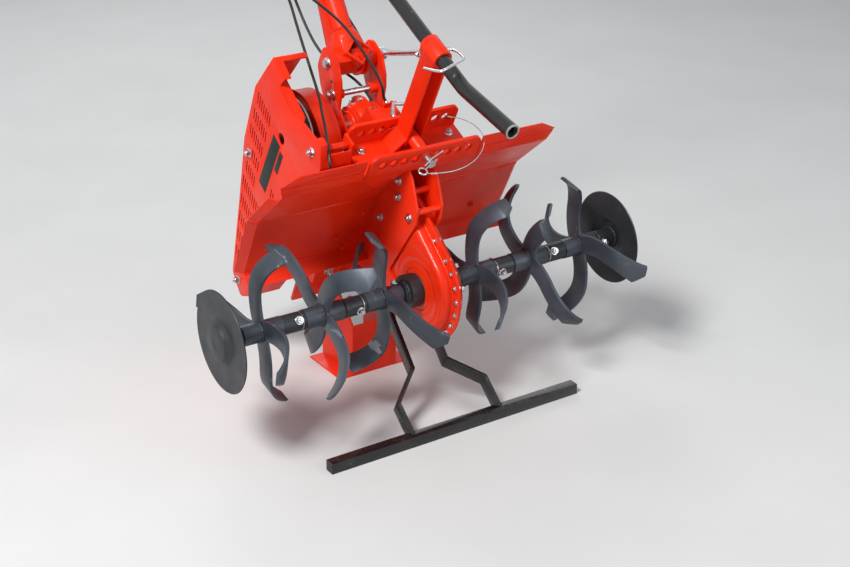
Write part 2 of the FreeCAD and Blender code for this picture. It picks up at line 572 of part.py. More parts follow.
def tine(side):
    """One tine that points up from the axle: a sickle in the rotor's plane, bent aside at its tip."""
    sweep = math.radians(TINE_SWEEP)
    root, tip = V(0, 0, AXLE_RADIUS + 2), V(0, -math.sin(sweep), math.cos(sweep)) * TINE_RADIUS
    chord = tip - root
    lean = math.atan2(-chord.y, chord.z)
    radius = chord.Length / (2 * math.sin(lean))
    centre = V(0, root.y - radius, root.z)
    half = TINE_WIDTH / 2
    band = Part.makeCylinder(radius + half, 300, V(-150, centre.y, centre.z), X_AXIS)
    band = band.cut(Part.makeCylinder(radius - half, 300, V(-150, centre.y, centre.z), X_AXIS))
    wedge = [V(-150, centre.y, centre.z)]
    for degrees in (0.0, math.degrees(lean), math.degrees(2 * lean)):
        angle = math.radians(degrees)
        wedge.append(V(-150, centre.y + math.cos(angle) * 2 * radius, centre.z + math.sin(angle) * 2 * radius))
    band = band.common(Part.Face(Part.makePolygon(wedge + wedge[:1])).extrude(V(300, 0, 0)))
    fold = math.radians(62)
    bend = TINE_REACH / (1 - math.cos(fold))
    start = (tip - root).Length - bend * math.sin(fold)
    half_thick = TINE_THICK / 2
    profile = []
    for offset in (-half_thick, half_thick):
        middle = V(bend * (1 - math.cos(fold / 2)) - offset * math.cos(fold / 2), 0,
                   start + bend * math.sin(fold / 2) + offset * math.sin(fold / 2))
        last = V(bend * (1 - math.cos(fold)) - offset * math.cos(fold), 0,
                 start + bend * math.sin(fold) + offset * math.sin(fold))
        profile.append((V(-offset, 0, -40), V(-offset, 0, start), middle, last))
    (a0, a1, a2, a3), (b0, b1, b2, b3) = profile
    edges = [Part.LineSegment(a0, a1).toShape(), Part.Arc(a1, a2, a3).toShape(),
             Part.LineSegment(a3, b3).toShape(), Part.Arc(b3, b2, b1).toShape(),
             Part.LineSegment(b1, b0).toShape(), Part.LineSegment(b0, a0).toShape()]
    sheet = Part.Face(Part.Wire(edges)).extrude(V(0, 400, 0))
    sheet.translate(V(0, -200, 0))
    sheet.rotate(V(0, 0, 0), X_AXIS, math.degrees(lean))
    sheet.translate(root)
    blade = band.common(sheet)
    if side < 0:
        blade = mirrored(blade)
    return blade


def tine_group(x, turn, reach_sides):
    """Sleeve with four tines, turned about the axle."""
    sleeve = x_pipe(-46, 46, 0, 0, SLEEVE_RADIUS, AXLE_RADIUS + SEAT_GAP)
    blades = []
    for i in range(TINES_PER_GROUP):
        blade = tine(reach_sides[i % 2])
        blade.rotate(V(0, 0, 0), X_AXIS, turn + i * 360 / TINES_PER_GROUP)
        blades.append(blade)
    group = sleeve.multiFuse(blades)
    group = group.cut(x_rod(-80, 80, 0, 0, AXLE_RADIUS + SEAT_GAP))
    group.translate(V(x, 0, 0))
    return group


def axle():
    """Through shaft of the rotor with a cup on each side of the chain case."""
    shaft = x_rod(-DISC_X, DISC_X, 0, 0, AXLE_RADIUS)
    cup_in = CASE_HALF + 9
    for side in (-1, 1):
        shaft = shaft.fuse(x_rod(side * cup_in, side * (cup_in + CUP_LENGTH), 0, 0, CUP_RADIUS))
        shaft = shaft.fuse(x_rod(side * (cup_in + CUP_LENGTH), side * 72, 0, 0, 25.0))
    return shaft


def disc(side):
    """Dished plant-guard disc with its hub tube."""
    ring = DISC_RADIUS * 0.45
    profile = [V(0, 0, 0), V(0, ring, 0), V(-DISC_DISH, ring + 22, 0), V(-DISC_DISH, DISC_RADIUS, 0),
               V(-DISC_DISH + DISC_THICK, DISC_RADIUS, 0), V(-DISC_DISH + DISC_THICK, ring + 24, 0),
               V(DISC_THICK, ring + 2, 0), V(DISC_THICK, 0, 0)]
    plate = Part.Face(Part.makePolygon(profile + profile[:1])).revolve(V(0, 0, 0), X_AXIS, 360)
    hub = x_pipe(-48, 0.5, 0, 0, SLEEVE_RADIUS, AXLE_RADIUS + SEAT_GAP)
    whole = plate.fuse(hub)
    whole.translate(V(DISC_X + 0.5, 0, 0))
    if side < 0:
        whole = mirrored(whole)
    return whole


def upright_fillet(shape, radius):
    """Round the four upright edges of a block."""
    edges = [edge for edge in shape.Edges if abs(edge.tangentAt(edge.FirstParameter).z) > 0.99]
    return shape.makeFillet(radius, edges)


def engine_base():
    """Base plate under the engine, notched round the chain case."""
    plate = block(-140, 140, -102, 300, BASE_Z, BASE_Z + BASE_THICK)
    notch = PLATE_IN_X + PLATE + SEAT_GAP
    return plate.cut(block(-notch, notch, -110, 26, BASE_Z - 1, BASE_Z + BASE_THICK + 1))


def engine():
    """Engine pieces by name: crankcase, head, tank, starter, muffler and filter."""
    crankcase = block(-112, 118, CRANK_Y - 95, CRANK_Y + 100, BASE_Z + BASE_THICK + 0.3, CRANK_Z + 92)
    crankcase = upright_fillet(crankcase, 14)
    head = block(-70, 80, CRANK_Y - 60, CRANK_Y + 88, CRANK_Z + 92.3, CRANK_Z + 160)
    tank = block(-118, 122, CRANK_Y - 105, CRANK_Y + 90, CRANK_Z + 160.3, CRANK_Z + 245)
    tank = upright_fillet(tank, 24)
    starter = x_rod(118.3, 176, CRANK_Y, CRANK_Z + 8, 92.0)
    muffler = block(-60, 60, CRANK_Y + 100.3, CRANK_Y + 158, CRANK_Z + 20, CRANK_Z + 110)
    muffler = upright_fillet(muffler, 16)
    air = block(-70, 50, CRANK_Y - 130, CRANK_Y - 60.3, CRANK_Z + 94, CRANK_Z + 158)
    air = upright_fillet(air, 14)
    return {"engine_crankcase": crankcase, "engine_head": head, "engine_tank": tank,
            "engine_starter": starter, "engine_muffler": muffler, "engine_air_filter": air}


def hitch_pin():
    """Drawbar pin through the middle holes, with its loop handle on top."""
    top = HITCH_HIGH_Z + HITCH_THICK / 2 + 0.3
    pin = cylinder(V(0, HITCH_HOLE_Y, HITCH_LOW_Z - 30), V(0, HITCH_HOLE_Y, top + 5), PIN_RADIUS)
    head = cylinder(V(0, HITCH_HOLE_Y, top), V(0, HITCH_HOLE_Y, top + 8), 14.0)
    loop = [V(0, HITCH_HOLE_Y, top + 4), V(-10, HITCH_HOLE_Y, top + 24), V(9, HITCH_HOLE_Y, top + 58),
            V(43, HITCH_HOLE_Y, top + 49), V(26, HITCH_HOLE_Y, top + 16), V(5, HITCH_HOLE_Y, top + 5)]
    return pin.multiFuse([head, bent_rod(loop, [9.0, 9.0, 9.0, 8.0], 4.0)])


# Tine groups: name, distance from the middle, turn in degrees
GROUPS = [("inner", 121.0, -41.0), ("middle", 269.0, 79.0), ("outer", 415.0, 40.0)]

nodes = {}
nodes["chain_case"] = chain_case()
left_plate = support_plate()
nodes["support_plate_left"] = left_plate
nodes["support_plate_right"] = mirrored(left_plate)
nodes["hitch_bracket"] = hitch()
nodes["hitch_pin"] = hitch_pin()
nodes["spur_arm"] = spur_arm()
nodes["spur_pin"] = spur_pin()
nodes["tie_rod"] = tie_rod()
ears = yoke()
nodes["yoke_ear_right"], nodes["yoke_ear_left"] = ears
nodes["yoke_rod"] = x_rod(-YOKE_HALF - 12, YOKE_HALF + 12, ROD_Y, ROD_Z, ROD_RADIUS)
nodes["pulley_guard"] = pulley_guard()
nodes["pivot_bolt"] = x_rod(-YOKE_HALF - 9, YOKE_HALF + 38, PIVOT_Y, PIVOT_Z, PIVOT_RADIUS)
nodes["brace_bolt"] = x_rod(-10, 26, BRACE_Y, BRACE_Z, BRACE_BOLT_RADIUS)
nodes["hood_left"] = hood()
nodes["hood_right"] = mirrored(nodes["hood_left"])
nodes["belt_cover"] = belt_cover()
nodes["cover_spacer_rear"] = x_rod(COVER_X + SHEET + 0.3, -HITCH_HALF - PLATE - 0.3, SPACER_Y, SPACER_Z,
                                   SPACER_RADIUS)
nodes["cover_spacer_front"] = x_rod(COVER_X + SHEET + 0.3, -112.3, CRANK_Y + 80, CRANK_Z + 10, SPACER_RADIUS)
nodes["input_shaft"] = x_rod(BELT_X - 20, -1, INPUT_Y, INPUT_Z, INPUT_RADIUS)
nodes["driven_pulley"] = pulley(INPUT_Y, INPUT_Z, DRIVEN_RADIUS, BELT_X - 12, BELT_X + 12,
                                 INPUT_RADIUS + SEAT_GAP)
crank_pulley = pulley(CRANK_Y, CRANK_Z, CRANK_PULLEY_RADIUS, BELT_X - 12, BELT_X + 12, CRANK_RADIUS - 1)
nodes["engine_pulley"] = crank_pulley.fuse(x_rod(BELT_X - 14, -112.3, CRANK_Y, CRANK_Z, CRANK_RADIUS))
nodes["drive_belt"] = belt()
nodes["engine_base"] = engine_base()
nodes.update(engine())
nodes["bumper"] = bumper()
nodes["parking_stand"] = stand()
nodes["stand_bolt"] = x_rod(-56, 56, STAND_PIVOT_Y, STAND_PIVOT_Z, STAND_BOLT_RADIUS)
nodes["column_block"] = column_block()
nodes["column_tube"] = column_tube()
bars = handlebars()
nodes["handlebar"], nodes["grip_left"], nodes["grip_right"] = bars
nodes["rotor_axle"] = axle()
for name, x, turn in GROUPS:
    for side, word in ((-1, "left"), (1, "right")):
        nodes["tines_%s_%s" % (name, word)] = tine_group(side * x, turn, (-side, side))
nodes["disc_left"] = disc(-1)
nodes["disc_right"] = disc(1)
nodes["depth_spur"] = spur()


def tip_over(shape):
    """Turn a piece nose-down and set it on the floor."""
    turned = shape.copy()
    turned.rotate(V(0, 0, 0), X_AXIS, -TIP_ANGLE)
    turned.translate(V(0, 0, FLOOR_DEPTH))
    return turned


placed = {name: tip_over(shape) for name, shape in nodes.items()}
whole = FreeCAD.BoundBox()
for shape in placed.values():
    whole.add(shape.optimalBoundingBox(False, False))
centre = V(0, -(whole.YMin + whole.YMax) / 2, 0)
for name, shape in placed.items():
    shape.translate(centre)
    if not shape.isValid() or len(shape.Solids) != 1:
        print("not one sound solid:", name)
    shape.exportStep("parts/%s.step" % name)
print("box", [round(v, 1) for v in (whole.XMin, whole.XMax, whole.YMin, whole.YMax, whole.ZMin, whole.ZMax)])
print("nodes", len(placed), "solids", sum(len(shape.Solids) for shape in placed.values()))
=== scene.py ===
"""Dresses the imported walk-behind rotavator: finishes, fasteners, wires, engine details, camera and light.

Every sub-assembly is modelled in millimetres in the machine's own frame (X across, Y forward,
Z up, origin on the rotor's axis) and then laid nose-down on the floor, as the machine parks.
"""
from __future__ import annotations

import json
import logging
import math
from dataclasses import dataclass
from enum import Enum
from functools import cache
from typing import Iterable, Sequence

import bpy
from mathutils import Matrix, Vector

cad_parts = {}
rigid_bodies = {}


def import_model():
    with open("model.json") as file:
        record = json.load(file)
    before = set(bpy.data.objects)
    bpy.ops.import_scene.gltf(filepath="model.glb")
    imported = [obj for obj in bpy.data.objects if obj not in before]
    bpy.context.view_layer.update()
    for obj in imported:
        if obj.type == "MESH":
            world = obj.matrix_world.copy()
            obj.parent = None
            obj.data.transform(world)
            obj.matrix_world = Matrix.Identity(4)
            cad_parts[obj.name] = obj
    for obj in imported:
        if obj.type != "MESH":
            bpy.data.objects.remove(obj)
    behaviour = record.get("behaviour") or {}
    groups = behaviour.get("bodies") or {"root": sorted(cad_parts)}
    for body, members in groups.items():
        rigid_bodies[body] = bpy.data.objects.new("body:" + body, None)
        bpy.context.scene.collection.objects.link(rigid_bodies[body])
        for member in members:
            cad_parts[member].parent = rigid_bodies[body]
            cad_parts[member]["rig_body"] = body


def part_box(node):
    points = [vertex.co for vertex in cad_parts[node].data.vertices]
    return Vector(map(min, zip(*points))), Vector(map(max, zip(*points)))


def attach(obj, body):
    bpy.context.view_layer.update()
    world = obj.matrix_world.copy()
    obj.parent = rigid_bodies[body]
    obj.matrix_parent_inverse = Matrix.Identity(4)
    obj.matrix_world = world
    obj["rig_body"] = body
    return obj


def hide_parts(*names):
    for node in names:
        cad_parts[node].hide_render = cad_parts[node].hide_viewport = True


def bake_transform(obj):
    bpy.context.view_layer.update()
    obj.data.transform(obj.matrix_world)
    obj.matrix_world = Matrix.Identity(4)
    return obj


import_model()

logging.basicConfig(level=logging.INFO, format="%(message)s")
LOG = logging.getLogger("rotavator")

Point = tuple[float, float, float]
Flat = tuple[float, float]
Colour = tuple[float, float, float]
Piece = bpy.types.Object
Socket = bpy.types.NodeSocket

SIDES = ((-1, "left"), (1, "right"))
PLATES = ("support_plate_left", "support_plate_right", "hitch_bracket", "yoke_ear_left", "yoke_ear_right",
          "pulley_guard", "hood_left", "hood_right", "belt_cover", "engine_base", "bumper", "cover_spacer_rear",
          "cover_spacer_front", "spur_arm")
TINES = tuple(f"tines_{row}_{side}" for row in ("inner", "middle", "outer") for side in ("left", "right"))
PIVOT_Y, PIVOT_Z = -240.5, 480.0
COLUMN_RISE = 59.5


class Body(Enum):
    """The moving bodies of the machine."""

    CHASSIS = "chassis"
    STAND = "parking_stand"
    HANDLEBAR = "handlebar"
    ROTOR = "rotor"
    SPUR = "depth_spur"


class Way(tuple, Enum):
    """Directions in the machine's own frame."""

    LEFT = (-1.0, 0.0, 0.0)
    RIGHT = (1.0, 0.0, 0.0)
    BACK = (0.0, -1.0, 0.0)
    UP = (0.0, 0.0, 1.0)
    DOWN = (0.0, 0.0, -1.0)


@dataclass(frozen=True)
class Pose:
    """Where the machine's own frame lies in the row's frame."""

    tip_degrees: float = 62.25

    def origin(self) -> Vector:
        """Middle of the rotor's axis in the row's frame, in metres."""
        low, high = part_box("rotor_axle")
        return (Vector(low) + Vector(high)) / 2

    def to_row(self) -> Matrix:
        """Matrix from the machine's frame in millimetres to the row's frame in metres."""
        turn = Matrix.Rotation(math.radians(-self.tip_degrees), 4, "X")
        return Matrix.Translation(self.origin()) @ turn @ Matrix.Scale(0.001, 4)


POSE = Pose()


def column_matrix() -> Matrix:
    """Matrix whose X runs across, Y towards the engine and Z along the column, from the pivot."""
    turn = Matrix.Rotation(math.radians(90 - COLUMN_RISE), 4, "X")
    return Matrix.Translation(Vector((0.0, PIVOT_Y, PIVOT_Z))) @ turn


def circle(across: float, along: float, radius: float, degrees: Iterable[float]) -> list[Flat]:
    """Points round a centre at these angles."""
    turns = [math.radians(angle) for angle in degrees]
    return [(across + radius * math.cos(turn), along + radius * math.sin(turn)) for turn in turns]


def ring(inner: float, outer: float, low: float, high: float) -> list[Flat]:
    """Profile of a plain ring between two radii and two heights."""
    return [(inner, low), (outer, low), (outer, high), (inner, high), (inner, low)]


class Nodes:
    """Lays out shader nodes in one tree; each value is a number, a colour or another node's socket."""

    def __init__(self, tree: bpy.types.NodeTree) -> None:
        """Keeps the tree that nodes are added to."""
        self.tree = tree

    def link(self, out: Socket, into: Socket) -> None:
        """Joins two sockets."""
        self.tree.links.new(out, into)

    def add(self, kind: str, inputs: dict[str | int, object] | None = None, **settings: object) -> bpy.types.Node:
        """Adds a node.

        Args:
            kind: Blender's node type name without its first word.
            inputs: Value or socket for each input that isn't left as it is.
            settings: Attributes of the node.

        Returns:
            The new node.
        """
        node = self.tree.nodes.new("ShaderNode" + kind)
        for key, value in settings.items():
            setattr(node, key, value)
        for key, value in (inputs or {}).items():
            if isinstance(value, Socket):
                self.link(value, node.inputs[key])
            else:
                node.inputs[key].default_value = value
        return node

    def noise(self, place: Socket, scale: float | Socket, detail: float, roughness: float = 0.5,
              distortion: float = 0.0) -> Socket:
        """Noise over the surface."""
        return self.add("TexNoise", {"Vector": place, "Scale": scale, "Detail": detail, "Roughness": roughness,
                                     "Distortion": distortion}).outputs["Fac"]

    def span(self, value: Socket, low: float | Socket, high: float | Socket, to_low: float = 0.0,
             to_high: float = 1.0, kind: str = "LINEAR") -> Socket:
        """Stretches one range of values to another."""
        return self.add("MapRange", {"Value": value, "From Min": low, "From Max": high, "To Min": to_low,
                                     "To Max": to_high}, interpolation_type=kind).outputs["Result"]

    def math(self, operation: str, first: float | Socket, second: float | Socket, clamp: bool = False) -> Socket:
        """Joins two numbers by an operation."""
        return self.add("Math", {0: first, 1: second}, operation=operation, use_clamp=clamp).outputs[0]

    def mix(self, mask: Socket, under: object, over: object, numbers: bool = False) -> Socket:
        """Lays one colour, or one number, over another by a mask."""
        kind, first, out = ("FLOAT", 2, 0) if numbers else ("RGBA", 6, 2)
        return self.add("Mix", {0: mask, first: under, first + 1: over}, data_type=kind).outputs[out]

    def group(self, tree: bpy.types.NodeTree, place: Socket, **values: object) -> Socket:
        """Places a shared effect on the object's coordinates and returns its result."""
        return self.add("Group", {"Vector": place, **values}, node_tree=tree).outputs[0]


class EffectGroups:
    """Shader node groups that several finishes share."""

    @staticmethod
    def begin(name: str, out_name: str, out_kind: str,
              **inputs: object) -> tuple[Nodes, Sequence[Socket], Socket]:
        """Starts a group that reads a place and some more inputs.

        Args:
            name: The group's name.
            out_name: Name of its output.
            out_kind: Whether that is a Color, Float or Vector.
            inputs: Default number or colour of each further input.

        Returns:
            The node helper, the sockets that give the inputs and the socket that takes the result.
        """
        tree = bpy.data.node_groups.new(name, "ShaderNodeTree")
        tree.interface.new_socket("Vector", in_out="INPUT", socket_type="NodeSocketVector")
        for label, default in inputs.items():
            kind = "NodeSocketColor" if isinstance(default, tuple) else "NodeSocketFloat"
            tree.interface.new_socket(label, in_out="INPUT", socket_type=kind).default_value = default
        tree.interface.new_socket(out_name, in_out="OUTPUT", socket_type="NodeSocket" + out_kind)
        start, end = tree.nodes.new("NodeGroupInput"), tree.nodes.new("NodeGroupOutput")
        return Nodes(tree), start.outputs, end.inputs[0]

    @staticmethod
    @cache
    def tone() -> bpy.types.NodeTree:
        """Slow change between two shades of one paint.

        Returns:
            The group's tree.
        """
        nodes, given, end = EffectGroups.begin("tone_change", "Color", "Color", Scale=9.0, Light=(1, 1, 1, 1),
                                               Dark=(0, 0, 0, 1))
        broad = nodes.noise(given["Vector"], given["Scale"], 3.0, 0.6)
        nodes.link(nodes.mix(nodes.span(broad, 0.32, 0.68), given["Dark"], given["Light"]), end)
        return nodes.tree

    @staticmethod
    @cache
    def scuffs() -> bpy.types.NodeTree:
        """Mask of small chips and drawn-out scratches.

        Returns:
            The group's tree.
        """
        nodes, given, end = EffectGroups.begin("scuffs", "Mask", "Float", Scale=60.0, Amount=0.3)
        drawn = nodes.add("Mapping", {"Vector": given["Vector"], "Rotation": (0.5, 0.3, 0.9),
                                      "Scale": (1.0, 0.12, 0.5)}).outputs["Vector"]
        chips = nodes.noise(given["Vector"], given["Scale"], 6.0, 0.75, 0.4)
        lines = nodes.noise(drawn, given["Scale"], 5.0, 0.7)
        edge = nodes.math("SUBTRACT", 0.83, nodes.math("MULTIPLY", given["Amount"], 0.42))
        both = nodes.math("MAXIMUM", chips, lines)
        nodes.link(nodes.span(both, edge, nodes.math("ADD", edge, 0.06), kind="SMOOTHSTEP"), end)
        return nodes.tree

    @staticmethod
    @cache
    def soil() -> bpy.types.NodeTree:
        """Mask of dried soil, thickest at the bottom and broken up by noise.

        Returns:
            The group's tree.
        """
        nodes, given, end = EffectGroups.begin("soil_film", "Mask", "Float", Amount=0.3, Top=0.45)
        height = nodes.add("SeparateXYZ", {0: given["Vector"]}).outputs["Z"]
        fade = nodes.span(height, 0.0, given["Top"], 1.0, 0.0)
        patch = nodes.span(nodes.noise(given["Vector"], 34.0, 8.0, 0.72), 0.5, 0.72)
        low = nodes.math("MULTIPLY", fade, patch)
        nodes.link(nodes.math("MULTIPLY", low, given["Amount"], clamp=True), end)
        return nodes.tree

    @staticmethod
    @cache
    def relief() -> bpy.types.NodeTree:
        """Fine relief of a sprayed, cast or rolled surface, as a normal.

        Returns:
            The group's tree.
        """
        nodes, given, end = EffectGroups.begin("surface_relief", "Normal", "Vector", Scale=600.0, Strength=0.1,
                                               Dents=0.05)
        broad = nodes.add("Bump", {"Height": nodes.noise(given["Vector"], 14.0, 1.0), "Strength": given["Dents"],
                                   "Distance": 0.01}).outputs["Normal"]
        peel = nodes.noise(given["Vector"], given["Scale"], 2.0)
        small = nodes.add("Bump", {"Height": peel, "Strength": given["Strength"], "Distance": 0.0006,
                                   "Normal": broad})
        nodes.link(small.outputs["Normal"], end)
        return nodes.tree


@dataclass(frozen=True)
class Finish:
    """A surface finish: its material slot, shades, gloss, relief, wear and soil."""

    name: str
    slot: str
    light: Colour
    dark: Colour
    roughness: float = 0.35
    rough_spread: float = 0.12
    metallic: float = 0.0
    coat: float = 0.0
    specular: float = 0.5
    tone_scale: float = 7.0
    relief_scale: float = 700.0
    relief_strength: float = 0.12
    dents: float = 0.05
    wear: float = 0.0
    wear_scale: float = 45.0
    wear_colour: Colour = (0.42, 0.42, 0.43)
    wear_metallic: float = 0.85
    soil: float = 0.0
    soil_top: float = 0.5
    soil_colour: Colour = (0.115, 0.075, 0.045)
    soil_roughness: float = 0.85

    @cache
    def material(self) -> bpy.types.Material:
        """Builds the material, once for each finish.

        Returns:
            The material.
        """
        material = bpy.data.materials.new(self.name)
        material.use_nodes = True
        material.node_tree.nodes.clear()
        nodes = Nodes(material.node_tree)
        shader = nodes.add("BsdfPrincipled", {"Metallic": self.metallic, "Roughness": self.roughness,
                                              "Coat Weight": self.coat, "Coat Roughness": 0.06,
                                              "Specular IOR Level": self.specular})
        nodes.add("OutputMaterial", {"Surface": shader.outputs[0]})
        place = nodes.add("TexCoord").outputs["Object"]
        colour = nodes.group(EffectGroups.tone(), place, Scale=self.tone_scale, Light=(*self.light, 1.0),
                             Dark=(*self.dark, 1.0))
        relief = nodes.group(EffectGroups.relief(), place, Scale=self.relief_scale,
                             Strength=self.relief_strength, Dents=self.dents)
        rough = nodes.span(nodes.noise(place, 22.0, 5.0, 0.65), 0.3, 0.7,
                           max(self.roughness - self.rough_spread / 2, 0.03),
                           min(self.roughness + self.rough_spread, 1.0))
        if self.wear > 0:
            mask = nodes.group(EffectGroups.scuffs(), place, Scale=self.wear_scale, Amount=self.wear)
            colour = nodes.mix(mask, colour, (*self.wear_colour, 1.0))
            metal = nodes.span(mask, 0.0, 1.0, self.metallic, self.wear_metallic)
            nodes.link(metal, shader.inputs["Metallic"])
        if self.soil > 0:
            mask = nodes.group(EffectGroups.soil(), place, Amount=self.soil, Top=self.soil_top)
            colour = nodes.mix(mask, colour, (*self.soil_colour, 1.0))
            rough = nodes.mix(mask, rough, self.soil_roughness, numbers=True)
        for out, name in ((relief, "Normal"), (colour, "Base Color"), (rough, "Roughness")):
            nodes.link(out, shader.inputs[name])
        return material


class Finishes:
    """The machine's finishes."""

    RED = Finish("red_enamel", "red_paint", (0.88, 0.033, 0.004), (0.78, 0.020, 0.002), roughness=0.36,
                 coat=0.10, specular=0.2, relief_strength=0.10, dents=0.07, soil=0.10, soil_top=0.55)
    RED_CAST = Finish("red_casting", "red_paint", (0.87, 0.036, 0.004), (0.76, 0.022, 0.002), roughness=0.34,
                      coat=0.16, specular=0.2, relief_scale=260.0, relief_strength=0.28, dents=0.14, soil=0.22)
    BLACK = Finish("black_enamel", "black_paint", (0.012, 0.012, 0.013), (0.007, 0.007, 0.008), roughness=0.22,
                   coat=0.3, specular=0.4, wear=0.46, wear_scale=38.0, wear_colour=(0.16, 0.15, 0.14),
                   wear_metallic=0.5, soil=0.22)
    TINE = Finish("tine_paint", "tine_steel", (0.066, 0.080, 0.102), (0.034, 0.042, 0.056), roughness=0.38,
                  metallic=0.25, relief_scale=320.0, relief_strength=0.3, wear=0.46, wear_scale=34.0,
                  wear_colour=(0.27, 0.29, 0.33), soil=0.28, soil_top=0.55)
    DISC = Finish("disc_paint", "tine_steel", (0.030, 0.034, 0.040), (0.016, 0.018, 0.022), roughness=0.4,
                  metallic=0.2, relief_scale=300.0, relief_strength=0.22, wear=0.42, wear_scale=34.0,
                  wear_colour=(0.17, 0.175, 0.19), soil=0.3)
    ZINC = Finish("zinc_plate", "zinc", (0.66, 0.67, 0.68), (0.46, 0.48, 0.52), roughness=0.26, metallic=1.0,
                  tone_scale=60.0, relief_scale=900.0)
    CHROME = Finish("bright_chrome", "zinc", (0.66, 0.67, 0.70), (0.54, 0.56, 0.60), roughness=0.17,
                    rough_spread=0.08, metallic=1.0, tone_scale=30.0, relief_strength=0.03)
    BARE = Finish("cut_steel", "zinc", (0.46, 0.45, 0.43), (0.30, 0.29, 0.27), roughness=0.38, metallic=1.0,
                  tone_scale=90.0, relief_strength=0.2)
    WELD = Finish("weld_bead", "tine_steel", (0.085, 0.088, 0.095), (0.04, 0.042, 0.048), roughness=0.45,
                  metallic=0.5, tone_scale=120.0, relief_scale=420.0, relief_strength=0.5)
    ALLOY = Finish("cast_alloy", "engine_alloy", (0.46, 0.46, 0.46), (0.36, 0.36, 0.37), roughness=0.5,
                   metallic=0.7, relief_scale=420.0, relief_strength=0.45)
    PLASTIC = Finish("engine_plastic", "engine_black", (0.020, 0.020, 0.021), (0.014, 0.014, 0.015),
                     roughness=0.5, relief_scale=1100.0, relief_strength=0.25)
    TANK = Finish("tank_enamel", "engine_black", (0.022, 0.022, 0.024), (0.016, 0.016, 0.018), roughness=0.22,
                  coat=0.5, relief_strength=0.08)
    HOT = Finish("exhaust_steel", "engine_alloy", (0.22, 0.20, 0.18), (0.12, 0.105, 0.095), roughness=0.5,
                 metallic=0.8, relief_scale=300.0, relief_strength=0.3)
    RUBBER = Finish("black_rubber", "rubber", (0.016, 0.016, 0.016), (0.011, 0.011, 0.011), roughness=0.6,
                    relief_scale=900.0, relief_strength=0.3)
    CABLE = Finish("cable_sheath", "rubber", (0.018, 0.018, 0.020), (0.012, 0.012, 0.013), roughness=0.3,
                   relief_scale=500.0, relief_strength=0.1)
    PANEL = Finish("dark_panel", "engine_black", (0.013, 0.024, 0.021), (0.009, 0.018, 0.016), roughness=0.5,
                   specular=0.3, relief_strength=0.05)
    # Painted shade: near-black paint that stands in for the shade inside small holes.
    SHADE = Finish("dark_recess", "engine_black", (0.012, 0.004, 0.003), (0.008, 0.003, 0.002), roughness=0.6)


